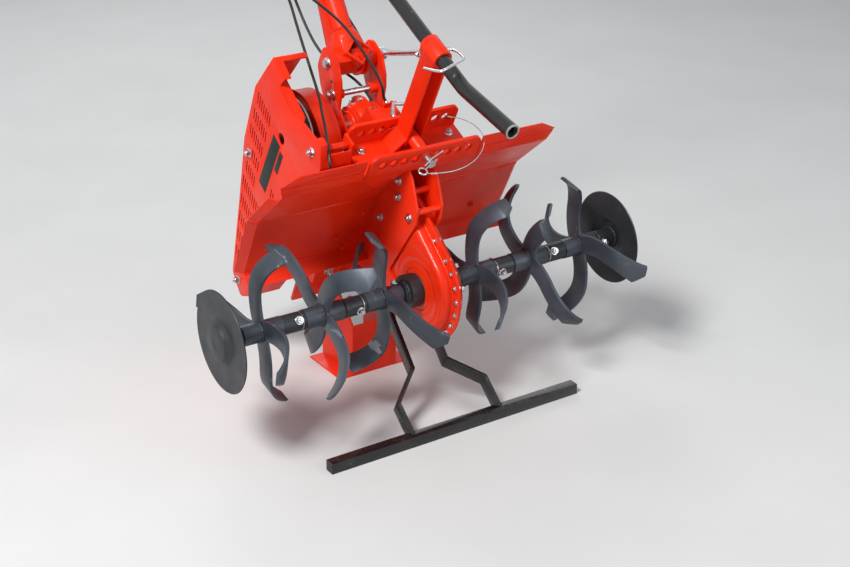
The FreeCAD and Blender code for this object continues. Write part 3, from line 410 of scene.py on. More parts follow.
class Bench:
    """Modelling steps by operator, in millimetres."""

    @staticmethod
    def clear() -> None:
        """Leaves edit mode and deselects everything."""
        if bpy.context.mode != "OBJECT":
            bpy.ops.object.mode_set(mode="OBJECT")
        bpy.ops.object.select_all(action="DESELECT")

    @classmethod
    def pick(cls, *pieces: Piece) -> None:
        """Selects these pieces only and makes the first one active."""
        cls.clear()
        for piece in pieces:
            piece.select_set(True)
        bpy.context.view_layer.objects.active = pieces[0]

    @classmethod
    def settle(cls, piece: Piece) -> Piece:
        """Writes the piece's place into its mesh.

        Args:
            piece: The piece to change.

        Returns:
            The same piece, at the origin.
        """
        cls.pick(piece)
        bpy.ops.object.transform_apply(location=True, rotation=True, scale=True)
        return piece

    @classmethod
    def place(cls, piece: Piece, matrix: Matrix) -> Piece:
        """Moves a piece by a matrix and writes its place into its mesh."""
        piece.matrix_world = matrix @ piece.matrix_world
        return cls.settle(piece)

    @classmethod
    def apply(cls, piece: Piece, kind: str, **values: object) -> Piece:
        """Adds a modifier and applies it.

        Args:
            piece: The piece to change.
            kind: Blender's modifier type.
            values: Settings of the modifier.

        Returns:
            The changed piece.
        """
        cls.pick(piece)
        modifier = piece.modifiers.new(kind.lower(), kind)
        for key, value in values.items():
            setattr(modifier, key, value)
        bpy.ops.object.modifier_apply(modifier=modifier.name)
        return piece

    @classmethod
    def bevel(cls, piece: Piece, width: float, segments: int = 2, angle: float = 30.0) -> Piece:
        """Rounds the sharp edges of a piece, unless the width is 0.

        Args:
            piece: The piece to change.
            width: How far each edge is rounded.
            segments: Steps of the rounding.
            angle: Edges sharper than this are rounded.

        Returns:
            The changed piece.
        """
        if width <= 0:
            return piece
        return cls.apply(piece, "BEVEL", width=width, segments=segments, limit_method="ANGLE",
                         angle_limit=math.radians(angle))

    @classmethod
    def cube(cls, low: Point, high: Point, round_by: float = 0.0, segments: int = 3) -> Piece:
        """Adds a block with rounded edges.

        Args:
            low: Its corner with the lowest values.
            high: The corner across from that.
            round_by: Rounding of its edges.
            segments: Steps of that rounding.

        Returns:
            The block.
        """
        cls.clear()
        middle = (Vector(low) + Vector(high)) / 2
        bpy.ops.mesh.primitive_cube_add(size=1.0, location=middle, scale=Vector(high) - Vector(low))
        return cls.bevel(cls.settle(bpy.context.active_object), round_by, segments)

    @classmethod
    def rod(cls, start: Point, end: Point, radius: float, sides: int = 32, round_by: float = 0.0) -> Piece:
        """Adds a round bar, or one with few sides, and rounds its rims.

        Args:
            start: Middle of one end.
            end: Middle of the other end.
            radius: Its radius, to the corners.
            sides: Faces round it.
            round_by: Rounding of its rims.

        Returns:
            The bar.
        """
        cls.clear()
        run = Vector(end) - Vector(start)
        bpy.ops.mesh.primitive_cone_add(
            vertices=sides, radius1=radius, radius2=radius, depth=run.length,
            location=(Vector(start) + Vector(end)) / 2, rotation=run.to_track_quat("Z", "Y").to_euler())
        return cls.bevel(cls.settle(bpy.context.active_object), round_by)

    @classmethod
    def trace(cls, corners: Sequence[Point]) -> Piece:
        """Draws a line by extruding one point.

        Args:
            corners: Places of the line's points in order.

        Returns:
            The line, in edit mode and all selected.
        """
        cls.clear()
        bpy.ops.mesh.primitive_plane_add(size=1.0)
        bpy.ops.object.mode_set(mode="EDIT")
        bpy.ops.mesh.merge(type="CENTER")
        bpy.ops.transform.translate(value=Vector(corners[0]))
        for before, after in zip(corners, corners[1:]):
            bpy.ops.mesh.extrude_region_move(TRANSFORM_OT_translate={"value": Vector(after) - Vector(before)})
        bpy.ops.mesh.select_all(action="SELECT")
        return bpy.context.active_object

    @staticmethod
    def finish_edit() -> None:
        """Turns the edited mesh's faces outwards and leaves edit mode."""
        bpy.ops.mesh.select_all(action="SELECT")
        bpy.ops.mesh.normals_make_consistent(inside=False)
        bpy.ops.object.mode_set(mode="OBJECT")

    @classmethod
    def lathe(cls, profile: Sequence[Flat], start: Point = (0, 0, 0), way: Point = Way.UP,
              steps: int = 40) -> Piece:
        """Spins a profile about an axis.

        Args:
            profile: Radius and height of each profile point; repeating the first one closes a ring.
            start: Where height 0 lies.
            way: Direction of the axis.
            steps: Faces round the axis.

        Returns:
            The turned piece.
        """
        piece = cls.trace([(radius, 0.0, height) for radius, height in profile])
        bpy.ops.mesh.spin(steps=steps, angle=math.tau, center=(0, 0, 0), axis=(0, 0, 1))
        bpy.ops.mesh.select_all(action="SELECT")
        bpy.ops.mesh.remove_doubles(threshold=0.002)
        cls.finish_edit()
        turn = Vector(way).to_track_quat("Z", "Y").to_matrix().to_4x4()
        return cls.place(piece, Matrix.Translation(Vector(start)) @ turn)

    @classmethod
    def wire(cls, points: Sequence[Point], radius: float, closed: bool = False, resolution: int = 6) -> Piece:
        """Bends a round wire along points.

        Args:
            points: Control points of the run.
            radius: Half the wire's thickness.
            closed: Whether the wire is an endless loop.
            resolution: Sections from one point to the next.

        Returns:
            The wire as a mesh.
        """
        cls.clear()
        bpy.ops.curve.primitive_nurbs_path_add()
        piece = bpy.context.active_object
        curve = piece.data
        curve.splines.clear()
        spline = curve.splines.new("NURBS")
        spline.points.add(len(points) - 1)
        for slot, point in zip(spline.points, points):
            slot.co = (*point, 1.0)
        spline.use_endpoint_u = not closed
        spline.use_cyclic_u = closed
        spline.order_u = 3
        spline.resolution_u = resolution
        curve.dimensions = "3D"
        curve.bevel_depth = radius
        curve.bevel_resolution = 3
        curve.use_fill_caps = not closed
        cls.pick(piece)
        bpy.ops.object.convert(target="MESH")
        return cls.settle(bpy.context.active_object)

    @classmethod
    def outline(cls, corners: Sequence[Point], thick: Point, round_by: float = 0.0) -> Piece:
        """Draws a flat outline, fills it and gives it thickness.

        Args:
            corners: The outline's corners in order.
            thick: How far and which way it is extruded.
            round_by: Rounding of its edges.

        Returns:
            The plate.
        """
        piece = cls.trace(corners)
        bpy.ops.mesh.edge_face_add()
        bpy.ops.mesh.extrude_region_move(TRANSFORM_OT_translate={"value": thick})
        cls.finish_edit()
        return cls.bevel(piece, round_by)

    @classmethod
    def side_outline(cls, x: float, corners: Iterable[Flat], thick: float, round_by: float = 0.0) -> Piece:
        """Makes a plate from (forward, up) corners at one place across the machine."""
        return cls.outline([(x, y, z) for y, z in corners], (thick, 0, 0), round_by)

    @classmethod
    def cut(cls, piece: Piece, tool: Piece) -> Piece:
        """Cuts one piece out of another.

        Args:
            piece: The piece to change.
            tool: The cutter, which is removed.

        Returns:
            The changed piece.
        """
        cls.apply(piece, "BOOLEAN", operation="DIFFERENCE", solver="EXACT", object=tool)
        bpy.data.objects.remove(tool)
        return piece

    @classmethod
    def join(cls, pieces: Sequence[Piece]) -> Piece:
        """Joins several pieces into the first one.

        Args:
            pieces: The pieces.

        Returns:
            The first piece, which now holds them all.
        """
        cls.pick(*pieces)
        if len(pieces) > 1:
            bpy.ops.object.join()
        return bpy.context.view_layer.objects.active

    @classmethod
    def copy(cls, piece: Piece, matrix: Matrix = Matrix()) -> Piece:
        """Copies a piece with a mesh of its own.

        Args:
            piece: The piece to copy.
            matrix: Where the copy goes, from the piece's own place.

        Returns:
            The copy.
        """
        cls.pick(piece)
        bpy.ops.object.duplicate(linked=False)
        return cls.place(bpy.context.active_object, matrix)

    @classmethod
    def smooth(cls, piece: Piece, angle: float) -> None:
        """Shades the edges that are gentler than an angle smooth."""
        cls.pick(piece)
        bpy.ops.object.shade_smooth_by_angle(angle=math.radians(angle))


class Assembly:
    """Base of the sub-assemblies: puts modelled pieces on the machine."""

    body: Body = Body.CHASSIS

    @staticmethod
    def coat(piece: Piece, finish: Finish) -> None:
        """Gives a piece one finish all over."""
        piece.data.materials.clear()
        piece.data.materials.append(finish.material())

    def lay(self, piece: Piece, name: str, finish: Finish, slot: str = "", angle: float = 32.0) -> Piece:
        """Lays a finished piece in its place on the parked machine.

        Args:
            piece: The piece, modelled in millimetres in the machine's frame.
            name: Its name.
            finish: Its surface finish.
            slot: Not used; meant as its material slot, if not the finish's own.
            angle: Edges gentler than this are shaded smooth.

        Returns:
            The piece in the row's frame.
        """
        Bench.smooth(piece, angle)
        Bench.place(piece, POSE.to_row())
        piece.name = piece.data.name = name
        self.coat(piece, finish)
        LOG.info("%s: %d faces", name, len(piece.data.polygons))
        return piece

    def seat(self, piece: Piece, name: str, finish: Finish, replaces: str = "", body: Body | None = None,
             slot: str = "", angle: float = 32.0) -> None:
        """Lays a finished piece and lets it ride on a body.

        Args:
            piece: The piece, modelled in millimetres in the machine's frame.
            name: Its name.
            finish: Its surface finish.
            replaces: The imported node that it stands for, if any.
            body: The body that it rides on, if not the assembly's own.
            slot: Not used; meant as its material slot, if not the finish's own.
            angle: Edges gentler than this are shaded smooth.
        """
        self.lay(piece, name, finish, slot, angle)
        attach(piece, (body or self.body).value)
        if replaces:
            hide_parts(replaces)


@dataclass
class Fastener:
    """Hexagon bolt with a washer, or its nut with the thread's end; modelled once, then copied.

    Its sizes are the width across the flats and the head's height, the washer's radius and thickness,
    the thread's radius and how far its end stands out.
    """

    across: float = 13.0
    height: float = 6.0
    washer: float = 9.0
    washer_thick: float = 1.4
    thread: float = 4.0
    thread_out: float = 0.0
    dome: bool = False
    pitch: float = 1.2
    turn: float = 17.0

    def build(self) -> Piece:
        """Models it on the origin, its head towards +Z.

        Returns:
            The bolt or nut with its washer.
        """
        radius = self.across / 2 / math.cos(math.radians(30))
        base, top = self.washer_thick, self.washer_thick + self.height
        head = Bench.rod((0, 0, base), (0, 0, top), radius, sides=6)
        cap = Bench.lathe([(0, base - 0.1), (radius * 1.2, base - 0.1), (radius * 1.2, base + self.height * 0.55),
                           (radius * 0.86, top + 0.02), (0, top + 0.02)], steps=24)
        Bench.apply(head, "BOOLEAN", operation="INTERSECT", solver="EXACT", object=cap)
        bpy.data.objects.remove(cap)
        washer = [(0, 0), (self.washer, 0), (self.washer, base * 0.7), (self.washer - 0.6, base), (0, base)]
        pieces = [head, Bench.lathe(washer, steps=24)]
        if self.thread_out > 0:
            height, end = base + self.height * 0.8, top + self.thread_out
            ridges = [(0.0, height)]
            while height < end - self.pitch:
                ridges += [(self.thread, height), (self.thread - 0.6, height + 0.6)]
                height += self.pitch
            pieces.append(Bench.lathe(ridges + [(self.thread - 0.9, end), (0.0, end)], steps=16))
        if self.dome:
            crown = [(0, base), (radius * 0.8, base), (radius * 0.78, base + self.height * 1.3),
                     (radius * 0.5, base + self.height * 1.75), (0, base + self.height * 1.9)]
            pieces.append(Bench.lathe(crown, steps=20))
        return Bench.join(pieces)

    def at(self, places: Iterable[tuple[Point, Point]]) -> Piece:
        """Copies it to several places, each copy turned on a little.

        Args:
            places: Seat point and outward direction of each copy.

        Returns:
            All copies as one piece.
        """
        master = self.build()
        copies = []
        for count, (point, way) in enumerate(places):
            lean = Vector(way).to_track_quat("Z", "Y").to_matrix().to_4x4()
            spin = Matrix.Rotation(math.radians(self.turn * count), 4, "Z")
            copies.append(Bench.copy(master, Matrix.Translation(Vector(point)) @ lean @ spin))
        bpy.data.objects.remove(master)
        return Bench.join(copies)


@dataclass
class Studio:
    """Floor, lamps and camera."""

    lens: float = 66.67
    camera_at: Point = (-1.743, -2.616, 1.416)
    camera_turn: Flat = (65.83, -33.54)
    aim: Point = (0.0, -0.1, 0.45)

    def floor(self) -> None:
        """Lays a wide pale floor."""
        Bench.clear()
        bpy.ops.mesh.primitive_plane_add(size=40.0, location=(0, 0, 0))
        plane = bpy.context.active_object
        bpy.ops.object.mode_set(mode="EDIT")
        bpy.ops.mesh.subdivide(number_cuts=4)
        bpy.ops.object.mode_set(mode="OBJECT")
        Bench.settle(plane)
        plane.name = "studio_floor"
        material = bpy.data.materials.new("pale_floor")
        material.use_nodes = True
        nodes = Nodes(material.node_tree)
        shader = material.node_tree.nodes["Principled BSDF"]
        shader.inputs["Roughness"].default_value = 0.85
        grain = nodes.noise(nodes.add("TexCoord").outputs["Object"], 3.0, 4.0)
        shade = nodes.mix(grain, (0.66, 0.66, 0.65, 1.0), (0.74, 0.74, 0.73, 1.0))
        nodes.link(shade, shader.inputs["Base Color"])
        plane.data.materials.append(material)

    def world(self) -> None:
        """Sets an even pale surrounding, brighter to the camera and to reflections."""
        world = bpy.data.worlds.new("studio")
        bpy.context.scene.world = world
        world.use_nodes = True
        nodes = Nodes(world.node_tree)
        back = world.node_tree.nodes["Background"]
        back.inputs["Strength"].default_value = 1.0
        rays = nodes.add("LightPath").outputs
        seen = nodes.math("MAXIMUM", rays["Is Camera Ray"], rays["Is Glossy Ray"])
        nodes.link(nodes.mix(seen, (0.23, 0.24, 0.26, 1.0), (0.80, 0.81, 0.82, 1.0)), back.inputs["Color"])

    def lamp(self, name: str, at: Point, size: float, power: float) -> None:
        """Adds a soft area lamp aimed at the machine.

        Args:
            name: Its name.
            at: Its place in metres.
            size: Its width in metres.
            power: Its power in watts.
        """
        run = Vector(self.aim) - Vector(at)
        bpy.ops.object.light_add(type="AREA", location=at, rotation=run.to_track_quat("-Z", "Y").to_euler())
        lamp = bpy.context.active_object
        lamp.name = name
        lamp.data.size = size
        lamp.data.energy = power

    def camera(self) -> None:
        """Places the camera at the photograph's viewing angle."""
        pitch, yaw = self.camera_turn
        bpy.ops.object.camera_add(location=POSE.origin() + Vector(self.camera_at),
                                  rotation=(math.radians(pitch), 0.0, math.radians(yaw)))
        camera = bpy.context.active_object
        camera.data.lens = self.lens
        camera.data.sensor_width = 36.0
        bpy.context.scene.camera = camera

    def build(self) -> None:
        """Sets up the whole studio."""
        self.floor()
        self.world()
        self.lamp("key_lamp", (-3.2, -1.6, 4.2), 1.3, 265.0)
        self.lamp("fill_lamp", (2.2, -3.8, 2.0), 2.6, 42.0)
        self.lamp("back_lamp", (1.2, 3.6, 3.2), 2.2, 55.0)
        self.camera()
        bpy.context.scene.view_settings.view_transform = "Standard"


class Coats(Assembly):
    """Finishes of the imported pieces."""

    def build(self) -> None:
        """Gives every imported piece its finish."""
        coats = (
            (Finishes.RED, (*PLATES, "column_block", "column_tube")),
            (Finishes.RED_CAST, ("chain_case",)),
            (Finishes.BLACK, ("parking_stand", "depth_spur", "handlebar")),
            (Finishes.ZINC, ("hitch_pin", "spur_pin", "yoke_rod", "pivot_bolt", "brace_bolt", "stand_bolt",
                             "input_shaft")),
            (Finishes.TINE, TINES),
            (Finishes.DISC, ("rotor_axle", "disc_left", "disc_right")),
            (Finishes.CHROME, ("tie_rod",)),
            (Finishes.RUBBER, ("drive_belt", "grip_left", "grip_right")),
            (Finishes.ALLOY, ("driven_pulley", "engine_pulley", "engine_crankcase", "engine_head")),
            (Finishes.TANK, ("engine_tank",)),
            (Finishes.PLASTIC, ("engine_starter", "engine_air_filter")),
            (Finishes.HOT, ("engine_muffler",)))
        for finish, names in coats:
            for name in names:
                self.coat(bpy.data.objects[name], finish)


@dataclass
class SoftEdges(Assembly):
    """Imported plates, tines and stand whose cut edges are rounded over, each standing for its own node."""

    sheet_round: float = 0.0007
    tine_round: float = 0.0009
    stand_round: float = 0.0012
    rod_gap: tuple[Flat, ...] = ((-262, 348), (-214, 340), (-176, 353), (-184, 378), (-178, 400), (-162, 416),
                                 (-140, 422), (-118, 416), (-102, 400), (-84, 380), (-60, 366), (-40, 480),
                                 (-262, 480))
    fold_gap: tuple[Flat, ...] = ((-340, 389), (-313, 387), (-284, 399), (-268, 320), (-281, 283), (-284, 250),
                                  (-291, 208), (-340, 205))

    def trim(self, piece: Piece, x: float, corners: Sequence[Flat], thick: float) -> None:
        """Cuts an outline that is drawn from the machine's side out of a plate."""
        Bench.cut(piece, Bench.place(Bench.side_outline(x, corners, thick), POSE.to_row()))

    def round_over(self, node: str, finish: Finish, width: float) -> None:
        """Copies a node's mesh, merges it and rounds its edges.

        Args:
            node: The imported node.
            finish: Its surface finish.
            width: How far each edge is rounded, in metres.
        """
        source = bpy.data.objects[node]
        body = str(source["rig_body"])
        piece = bpy.data.objects.new(node + "_finished", source.data.copy())
        bpy.context.scene.collection.objects.link(piece)
        Bench.pick(piece)
        bpy.ops.mesh.customdata_custom_splitnormals_clear()
        bpy.ops.object.mode_set(mode="EDIT")
        bpy.ops.mesh.select_all(action="SELECT")
        bpy.ops.mesh.remove_doubles(threshold=0.00002)
        bpy.ops.mesh.dissolve_limited(angle_limit=math.radians(0.4))
        bpy.ops.object.mode_set(mode="OBJECT")
        if node.startswith("support_plate"):
            self.trim(piece, -45.0, self.rod_gap, 90.0)
        if node == "belt_cover":
            self.trim(piece, -262.0, self.fold_gap, 56.0)
        Bench.bevel(piece, width, angle=40.0)
        Bench.smooth(piece, 34.0)
        self.coat(piece, finish)
        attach(piece, body)
        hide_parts(node)
        LOG.info("%s: %d faces", piece.name, len(piece.data.polygons))

    def build(self) -> None:
        """Rounds the sheet metal, the tines and the stand."""
        for node in PLATES:
            self.round_over(node, Finishes.RED, self.sheet_round)
        for node in TINES:
            self.round_over(node, Finishes.TINE, self.tine_round)
        self.round_over("parking_stand", Finishes.BLACK, self.stand_round)


@dataclass
class ChainCaseTrim(Assembly):
    """Pressed chain case with its bolted rim, rings, seals and bosses; radii are round the axle and the input."""

    top_at: Flat = (-140.0, 378.0)
    half: float = 28.0
    rim_half: float = 3.0
    bolt_radii: Flat = (111.0, 55.0)
    bolt_counts: tuple[int, int] = (13, 5)
    edge_shares: tuple[float, ...] = (0.13, 0.33, 0.53, 0.73, 0.92)
    dome_radii: Flat = (100.0, 48.0)
    skirt_radii: Flat = (102.5, 50.5)
    rim_radii: Flat = (122.0, 62.0)
    axle_radius: float = 17.1
    input_radius: float = 12.8

    def around(self, radii: Flat, counts: tuple[int, int]) -> list[Flat]:
        """Points on the line round two circles.

        Args:
            radii: Radius round the axle and round the input shaft.
            counts: Points on either arc.

        Returns:
            The points as (forward, up), first those round the axle.
        """
        top_y, top_z = self.top_at
        lean = math.atan2(top_z, top_y)
        open_by = math.acos((radii[0] - radii[1]) / math.hypot(top_y, top_z))
        arcs = ((0.0, 0.0, lean + open_by, math.tau - 2 * open_by), (top_y, top_z, lean - open_by, 2 * open_by))
        points = []
        for (y, z, start, sweep), radius, count in zip(arcs, radii, counts):
            for step in range(count):
                angle = start + sweep * step / (count - 1)
                points.append((y + math.cos(angle) * radius, z + math.sin(angle) * radius))
        return points

    def capsule(self, radii: Flat, low: float, high: float, round_by: float, segments: int) -> Piece:
        """Fills the line round two circles and gives it thickness across the machine.

        Args:
            radii: Radius round the axle and round the input shaft.
            low: Where it starts across the machine.
            high: Where it ends.
            round_by: Rounding of its edges.
            segments: Steps of that rounding.

        Returns:
            The closed piece.
        """
        return Bench.bevel(Bench.side_outline(low, self.around(radii, (49, 33)), high - low), round_by, segments)

    def shell(self) -> None:
        """Pressed case with broad rounded domes and a rim of two sheets, standing for the plain one."""
        leaves = [self.capsule(self.rim_radii, -self.rim_half, -0.15, 0.5, 2),
                  self.capsule(self.rim_radii, 0.15, self.rim_half, 0.5, 2)]
        dome = self.capsule(self.dome_radii, -self.half, self.half, 13.0, 6)
        skirt = self.capsule(self.skirt_radii, -6.5, 6.5, 2.4, 3)
        bosses = [Bench.rod((-self.half - 4, 0, 0), (self.half + 4, 0, 0), 48.0, 72, 1.6),
                  Bench.rod((-self.half - 8, *self.top_at), (self.half + 4, *self.top_at), 28.0, 56, 1.2)]
        bores = [Bench.rod((-60, 0, 0), (60, 0, 0), self.axle_radius, 56),
                 Bench.rod((-60, *self.top_at), (0, *self.top_at), self.input_radius, 48)]
        parts = [dome, skirt, *bosses, *leaves]
        for part in parts:
            for bore in bores:
                Bench.cut(part, Bench.copy(bore))
        for bore in bores:
            bpy.data.objects.remove(bore)
        self.seat(Bench.join(parts), "chain_case_pressed", Finishes.RED_CAST, "chain_case", angle=38)

    def rim_line(self) -> list[Flat]:
        """Finds the bolt places round the rim and along its straight flanks.

        Returns:
            The places as (forward, up).
        """
        places = self.around(self.bolt_radii, self.bolt_counts)
        low_count = self.bolt_counts[0]
        for low, high in ((places[0], places[-1]), (places[low_count - 1], places[low_count])):
            places += [tuple(Vector(low).lerp(Vector(high), share)) for share in self.edge_shares]
        return places

    def build(self) -> None:
        """Models the case, bolts its rim and adds the rings, seals and top bosses."""
        self.shell()
        line = self.rim_line()
        bolt = Fastener(8.5, 4.2, 6.4, 1.0)
        self.seat(bolt.at([((-self.rim_half, y, z), Way.LEFT) for y, z in line]), "case_rim_bolts", Finishes.ZINC)
        nut = Fastener(8.5, 4.6, 6.4, 1.0, thread=2.5, thread_out=3.0)
        self.seat(nut.at([((self.rim_half, y, z), Way.RIGHT) for y, z in line]), "case_rim_nuts", Finishes.ZINC)
        pressed = [(49, -2), (49, 3.4), (54, 3.2), (60, 1.6), (66, 0.5), (70, 1.7), (75, 1.9), (80, 0.5),
                   (84, -0.5), (84, -2), (49, -2)]
        seal = [(18, 0), (18, 2.6), (30, 3.0), (34, 2.2), (36, 0), (18, 0)]
        boss = [(28.2, -2), (28.2, 9.0), (31, 9.4), (36, 3.2), (40, 1.2), (40, -2), (28.2, -2)]
        for name, finish, profile, x, place, steps, angle in (
                ("case_pressed_rings", Finishes.RED_CAST, pressed, self.half, (0, 0), 72, 40),
                ("case_shaft_seals", Finishes.RUBBER, seal, self.half + 4, (0, 0), 48, 32),
                ("case_top_bosses", Finishes.RED_CAST, boss, self.half, self.top_at, 48, 32)):
            pair = [Bench.lathe(profile, (side * x, *place), (side, 0, 0), steps) for side in (-1, 1)]
            self.seat(Bench.join(pair), name, finish, angle=angle)


@dataclass
class RotorTrim(Assembly):
    """Couplings, cross bolts, weld beads and disc faces of the tined rotor."""

    body: Body = Body.ROTOR
    group_x: tuple[float, ...] = (121.0, 269.0, 415.0)
    coupling_x: Flat = (167.3, 315.3)
    disc_x: float = 514.5
    bolts: tuple[Point, ...] = ((81.0, 122.0, 22.0), (186.0, 255.0, 20.6), (333.0, 212.0, 20.6), (478.0, 240.0, 22.0))

    def bead(self, x: float, radius: float, thick: float, count: int = 46) -> Piece:
        """Weld bead round the axle, a little uneven like a run weld.

        Args:
            x: Its place across the machine.
            radius: Its mean radius.
            thick: Half its thickness.
            count: Points round it.

        Returns:
            The bead.
        """
        points = []
        for step in range(count):
            angle = math.tau * step / count
            wave = radius + 0.55 * math.sin(angle * 17) + 0.35 * math.sin(angle * 7 + x)
            points.append((x + 0.5 * math.sin(angle * 11), wave * math.cos(angle), wave * math.sin(angle)))
        return Bench.wire(points, thick, closed=True, resolution=2)

    def build(self) -> None:
        """Adds what the rotor carries besides tines."""
        collar = [(17.3, 0), (20.0, 0), (21.2, 1.2), (21.2, 5), (19.2, 6.4), (19.2, 9), (20.8, 10.4), (20.8, 52.0),
                  (19.6, 53.3), (17.3, 53.3), (17.3, 0)]
        neck = [(19.0, 6.2), (19.7, 6.4), (19.7, 9.0), (19.0, 9.2), (19.0, 6.2)]
        couplings, beads, places = [], [], []
        for side, _ in SIDES:
            for x in self.coupling_x:
                couplings.append(Bench.lathe(collar, (side * x, 0, 0), (side, 0, 0), 48))
            for x in self.group_x:
                beads += [self.bead(side * x + shift, 22.6, 2.0) for shift in (-5.2, 5.2)]
            beads += [self.bead(side * x, radius, thick)
                      for x, radius, thick in ((64.5, 25.6, 2.4), (511.0, 22.8, 2.2), (467.5, 19.5, 1.8))]
            for x, degrees, radius in self.bolts:
                out = Vector((0.0, math.cos(math.radians(degrees)), math.sin(math.radians(degrees))))
                places += [(tuple(Vector((side * x, 0, 0)) + way * radius), tuple(way)) for way in (out, -out)]
        necks = [Bench.lathe(neck, (side * x, 0, 0), (side, 0, 0), 48) for side, _ in SIDES for x in self.coupling_x]
        self.seat(Bench.join(necks), "coupling_worn_necks", Finishes.BARE, slot="tine_steel")
        self.seat(Bench.join(couplings), "axle_couplings", Finishes.DISC)
        self.seat(Bench.join(beads), "rotor_weld_beads", Finishes.WELD, angle=60)
        bolt = Fastener(13, 7.2, 9.5, 1.8, thread_out=2.4)
        self.seat(bolt.at(places), "rotor_cross_bolts", Finishes.ZINC)
        self.discs()

    def discs(self) -> None:
        """Turned discs with a rolled rim, a dished middle and a flat centre, standing for the plain ones."""
        profile = [(0, 0.0), (30, 0.0), (36, -0.9), (44, -9.2), (50, -12.8), (56, -13.4), (104, -12.8),
                   (108.6, -12.0), (110, -10.4), (108.8, -8.8), (104, -9.0), (57, -9.6), (51, -9.0), (46, -5.8),
                   (39, 2.6), (35.5, 3.8), (12, 3.8), (11, 3.0), (0, 3.0)]
        hub = [(17.3, -48), (21.4, -48), (22, -47.2), (22, -2), (17.3, -2), (17.3, -48)]
        for side, word in SIDES:
            place = ((side * self.disc_x, 0, 0), (side, 0, 0))
            disc = Bench.join([Bench.lathe(profile, *place, 96), Bench.lathe(hub, *place, 48)])
            self.seat(disc, f"disc_{word}_turned", Finishes.DISC, f"disc_{word}", angle=26)


@dataclass
class HitchTrim(Assembly):
    """Bolts, spacer tubes, spring clip and tether round the drawbar hitch."""

    plate_bolts: tuple[Flat, ...] = ((-177.0, 164.0), (-142.0, 148.0), (-131.0, 94.0), (-45.0, 182.0))
    spacers: tuple[Flat, ...] = ((-163.0, 137.0), (-156.0, 84.0))
    plate_out: float = 34.5
    pin_y: float = -258.0
    tether: tuple[Point, ...] = ((-31, -264, 97), (-6, -266, 88), (40, -266, 84), (90, -266, 96), (132, -266, 124),
                                 (158, -266, 158), (156, -266, 196), (138, -264, 224), (119, -258, 240),
                                 (108, -256, 252), (104, -258, 257))

    def build(self) -> None:
        """Adds the fasteners of the hitch and its plates."""
        places = [((side * self.plate_out, y, z), (side, 0, 0)) for side in (-1, 1) for y, z in self.plate_bolts]
        self.seat(Fastener(13, 6.4, 10.5, 1.8, thread_out=2.2).at(places), "plate_bolts", Finishes.ZINC)
        tubes = []
        for y, z in self.spacers:
            tubes += [Bench.lathe(ring(4.4, 7.0, -28.4, 28.4), (0, y, z), Way.RIGHT, 28),
                      Bench.rod((-28.4, y, z), (28.4, y, z), 4.2, 20)]
        self.seat(Bench.join(tubes), "plate_spacers", Finishes.RED)
        places = [((-145, -232, 226), Way.LEFT), ((-112, -229, 222), Way.BACK), ((112, -229, 222), Way.BACK)]
        self.seat(Fastener(12, 6, 9, 1.6, thread_out=3).at(places), "hitch_bolts", Finishes.ZINC)
        self.clip()
        washer = [(8.7, 0), (16, 0), (16, 1.6), (15.4, 2.0), (8.7, 2.0), (8.7, 0)]
        self.seat(Bench.lathe(washer, (0, self.pin_y, 144.0)), "pin_washer", Finishes.RED)

    def clip(self) -> None:
        """Spring clip through the pin's end, and the thin wire tether that holds it."""
        y = self.pin_y
        coil = [(x, y - 4, z) for x, z in circle(-33, 106, 9.5, range(40, 379, 26))]
        outer = [(36, y - 13, 141), (26, y - 12, 138), (12, y - 12, 132), (0, y - 14, 127), (-14, y - 12, 121),
                 (-24, y - 9, 115)]
        inner = [(-22, y, 113), (-8, y, 120), (8, y, 126), (20, y, 132)]
        wires = [Bench.wire(run, radius) for run, radius in ((outer, 2.0), (coil, 2.2), (inner, 2.0))]
        self.seat(Bench.join(wires), "pin_spring_clip", Finishes.ZINC, angle=60)
        eye = [(x, y, z) for x, z in circle(104, 257, 6, range(0, 360, 30))]
        wires = [Bench.wire(self.tether, 1.0, resolution=10), Bench.wire(eye, 0.9, closed=True),
                 Bench.rod((-22, -265, 93), (-8, -266, 89), 2.0, 16, 0.5),
                 Bench.rod((112, -257, 247), (121, -258, 238), 2.0, 16, 0.5)]
        self.seat(Bench.join(wires), "pin_tether", Finishes.ZINC, angle=60)


@dataclass
class SpurTrim(Assembly):
    """Worn cut end, cap and lock pin of the depth spur."""

    body: Body = Body.SPUR
    end: Point = (0.0, -523.0, -57.0)
    before: Point = (0.0, -485.0, 112.0)
    bail: tuple[Point, ...] = ((24, -485, 224.5), (34, -485, 224.5), (38, -489, 215), (32, -502, 195),
                               (18, -521, 161), (10, -527, 150), (-2, -528, 146), (-42, -528, 133),
                               (-55, -526, 130), (-60, -517, 142), (-64, -499, 172))

    def build(self) -> None:
        """Adds the rim of the tube's cut end, the cap on its top and the pin with its bent bail."""
        way = tuple((Vector(self.end) - Vector(self.before)).normalized())
        rim = [(11.9, -14), (11.9, 0.0), (12.4, 0.7), (15.2, 0.7), (15.7, 0.1), (15.7, -2.2), (15.2, -2.6),
               (15.2, -14), (11.9, -14)]
        self.seat(Bench.lathe(rim, self.end, way, 48), "spur_cut_end", Finishes.BARE)
        cap = [(0, 7.5), (9, 7.2), (14.5, 5.0), (16.6, 1.6), (16.6, -10), (15.7, -10), (15.7, -0.4), (0, -0.4)]
        self.seat(Bench.lathe(cap, (0, -485, 430), steps=48), "spur_top_cap", Finishes.RUBBER)
        pin = Bench.rod((21.9, -485, 224.5), (33, -485, 224.5), 5.0, 32, 0.8)
        self.seat(Bench.join([pin, Bench.wire(self.bail, 3.1, resolution=10)]), "spur_pin_bail", Finishes.CHROME,
                  "spur_pin", Body(str(bpy.data.objects["spur_pin"]["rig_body"])), angle=60)


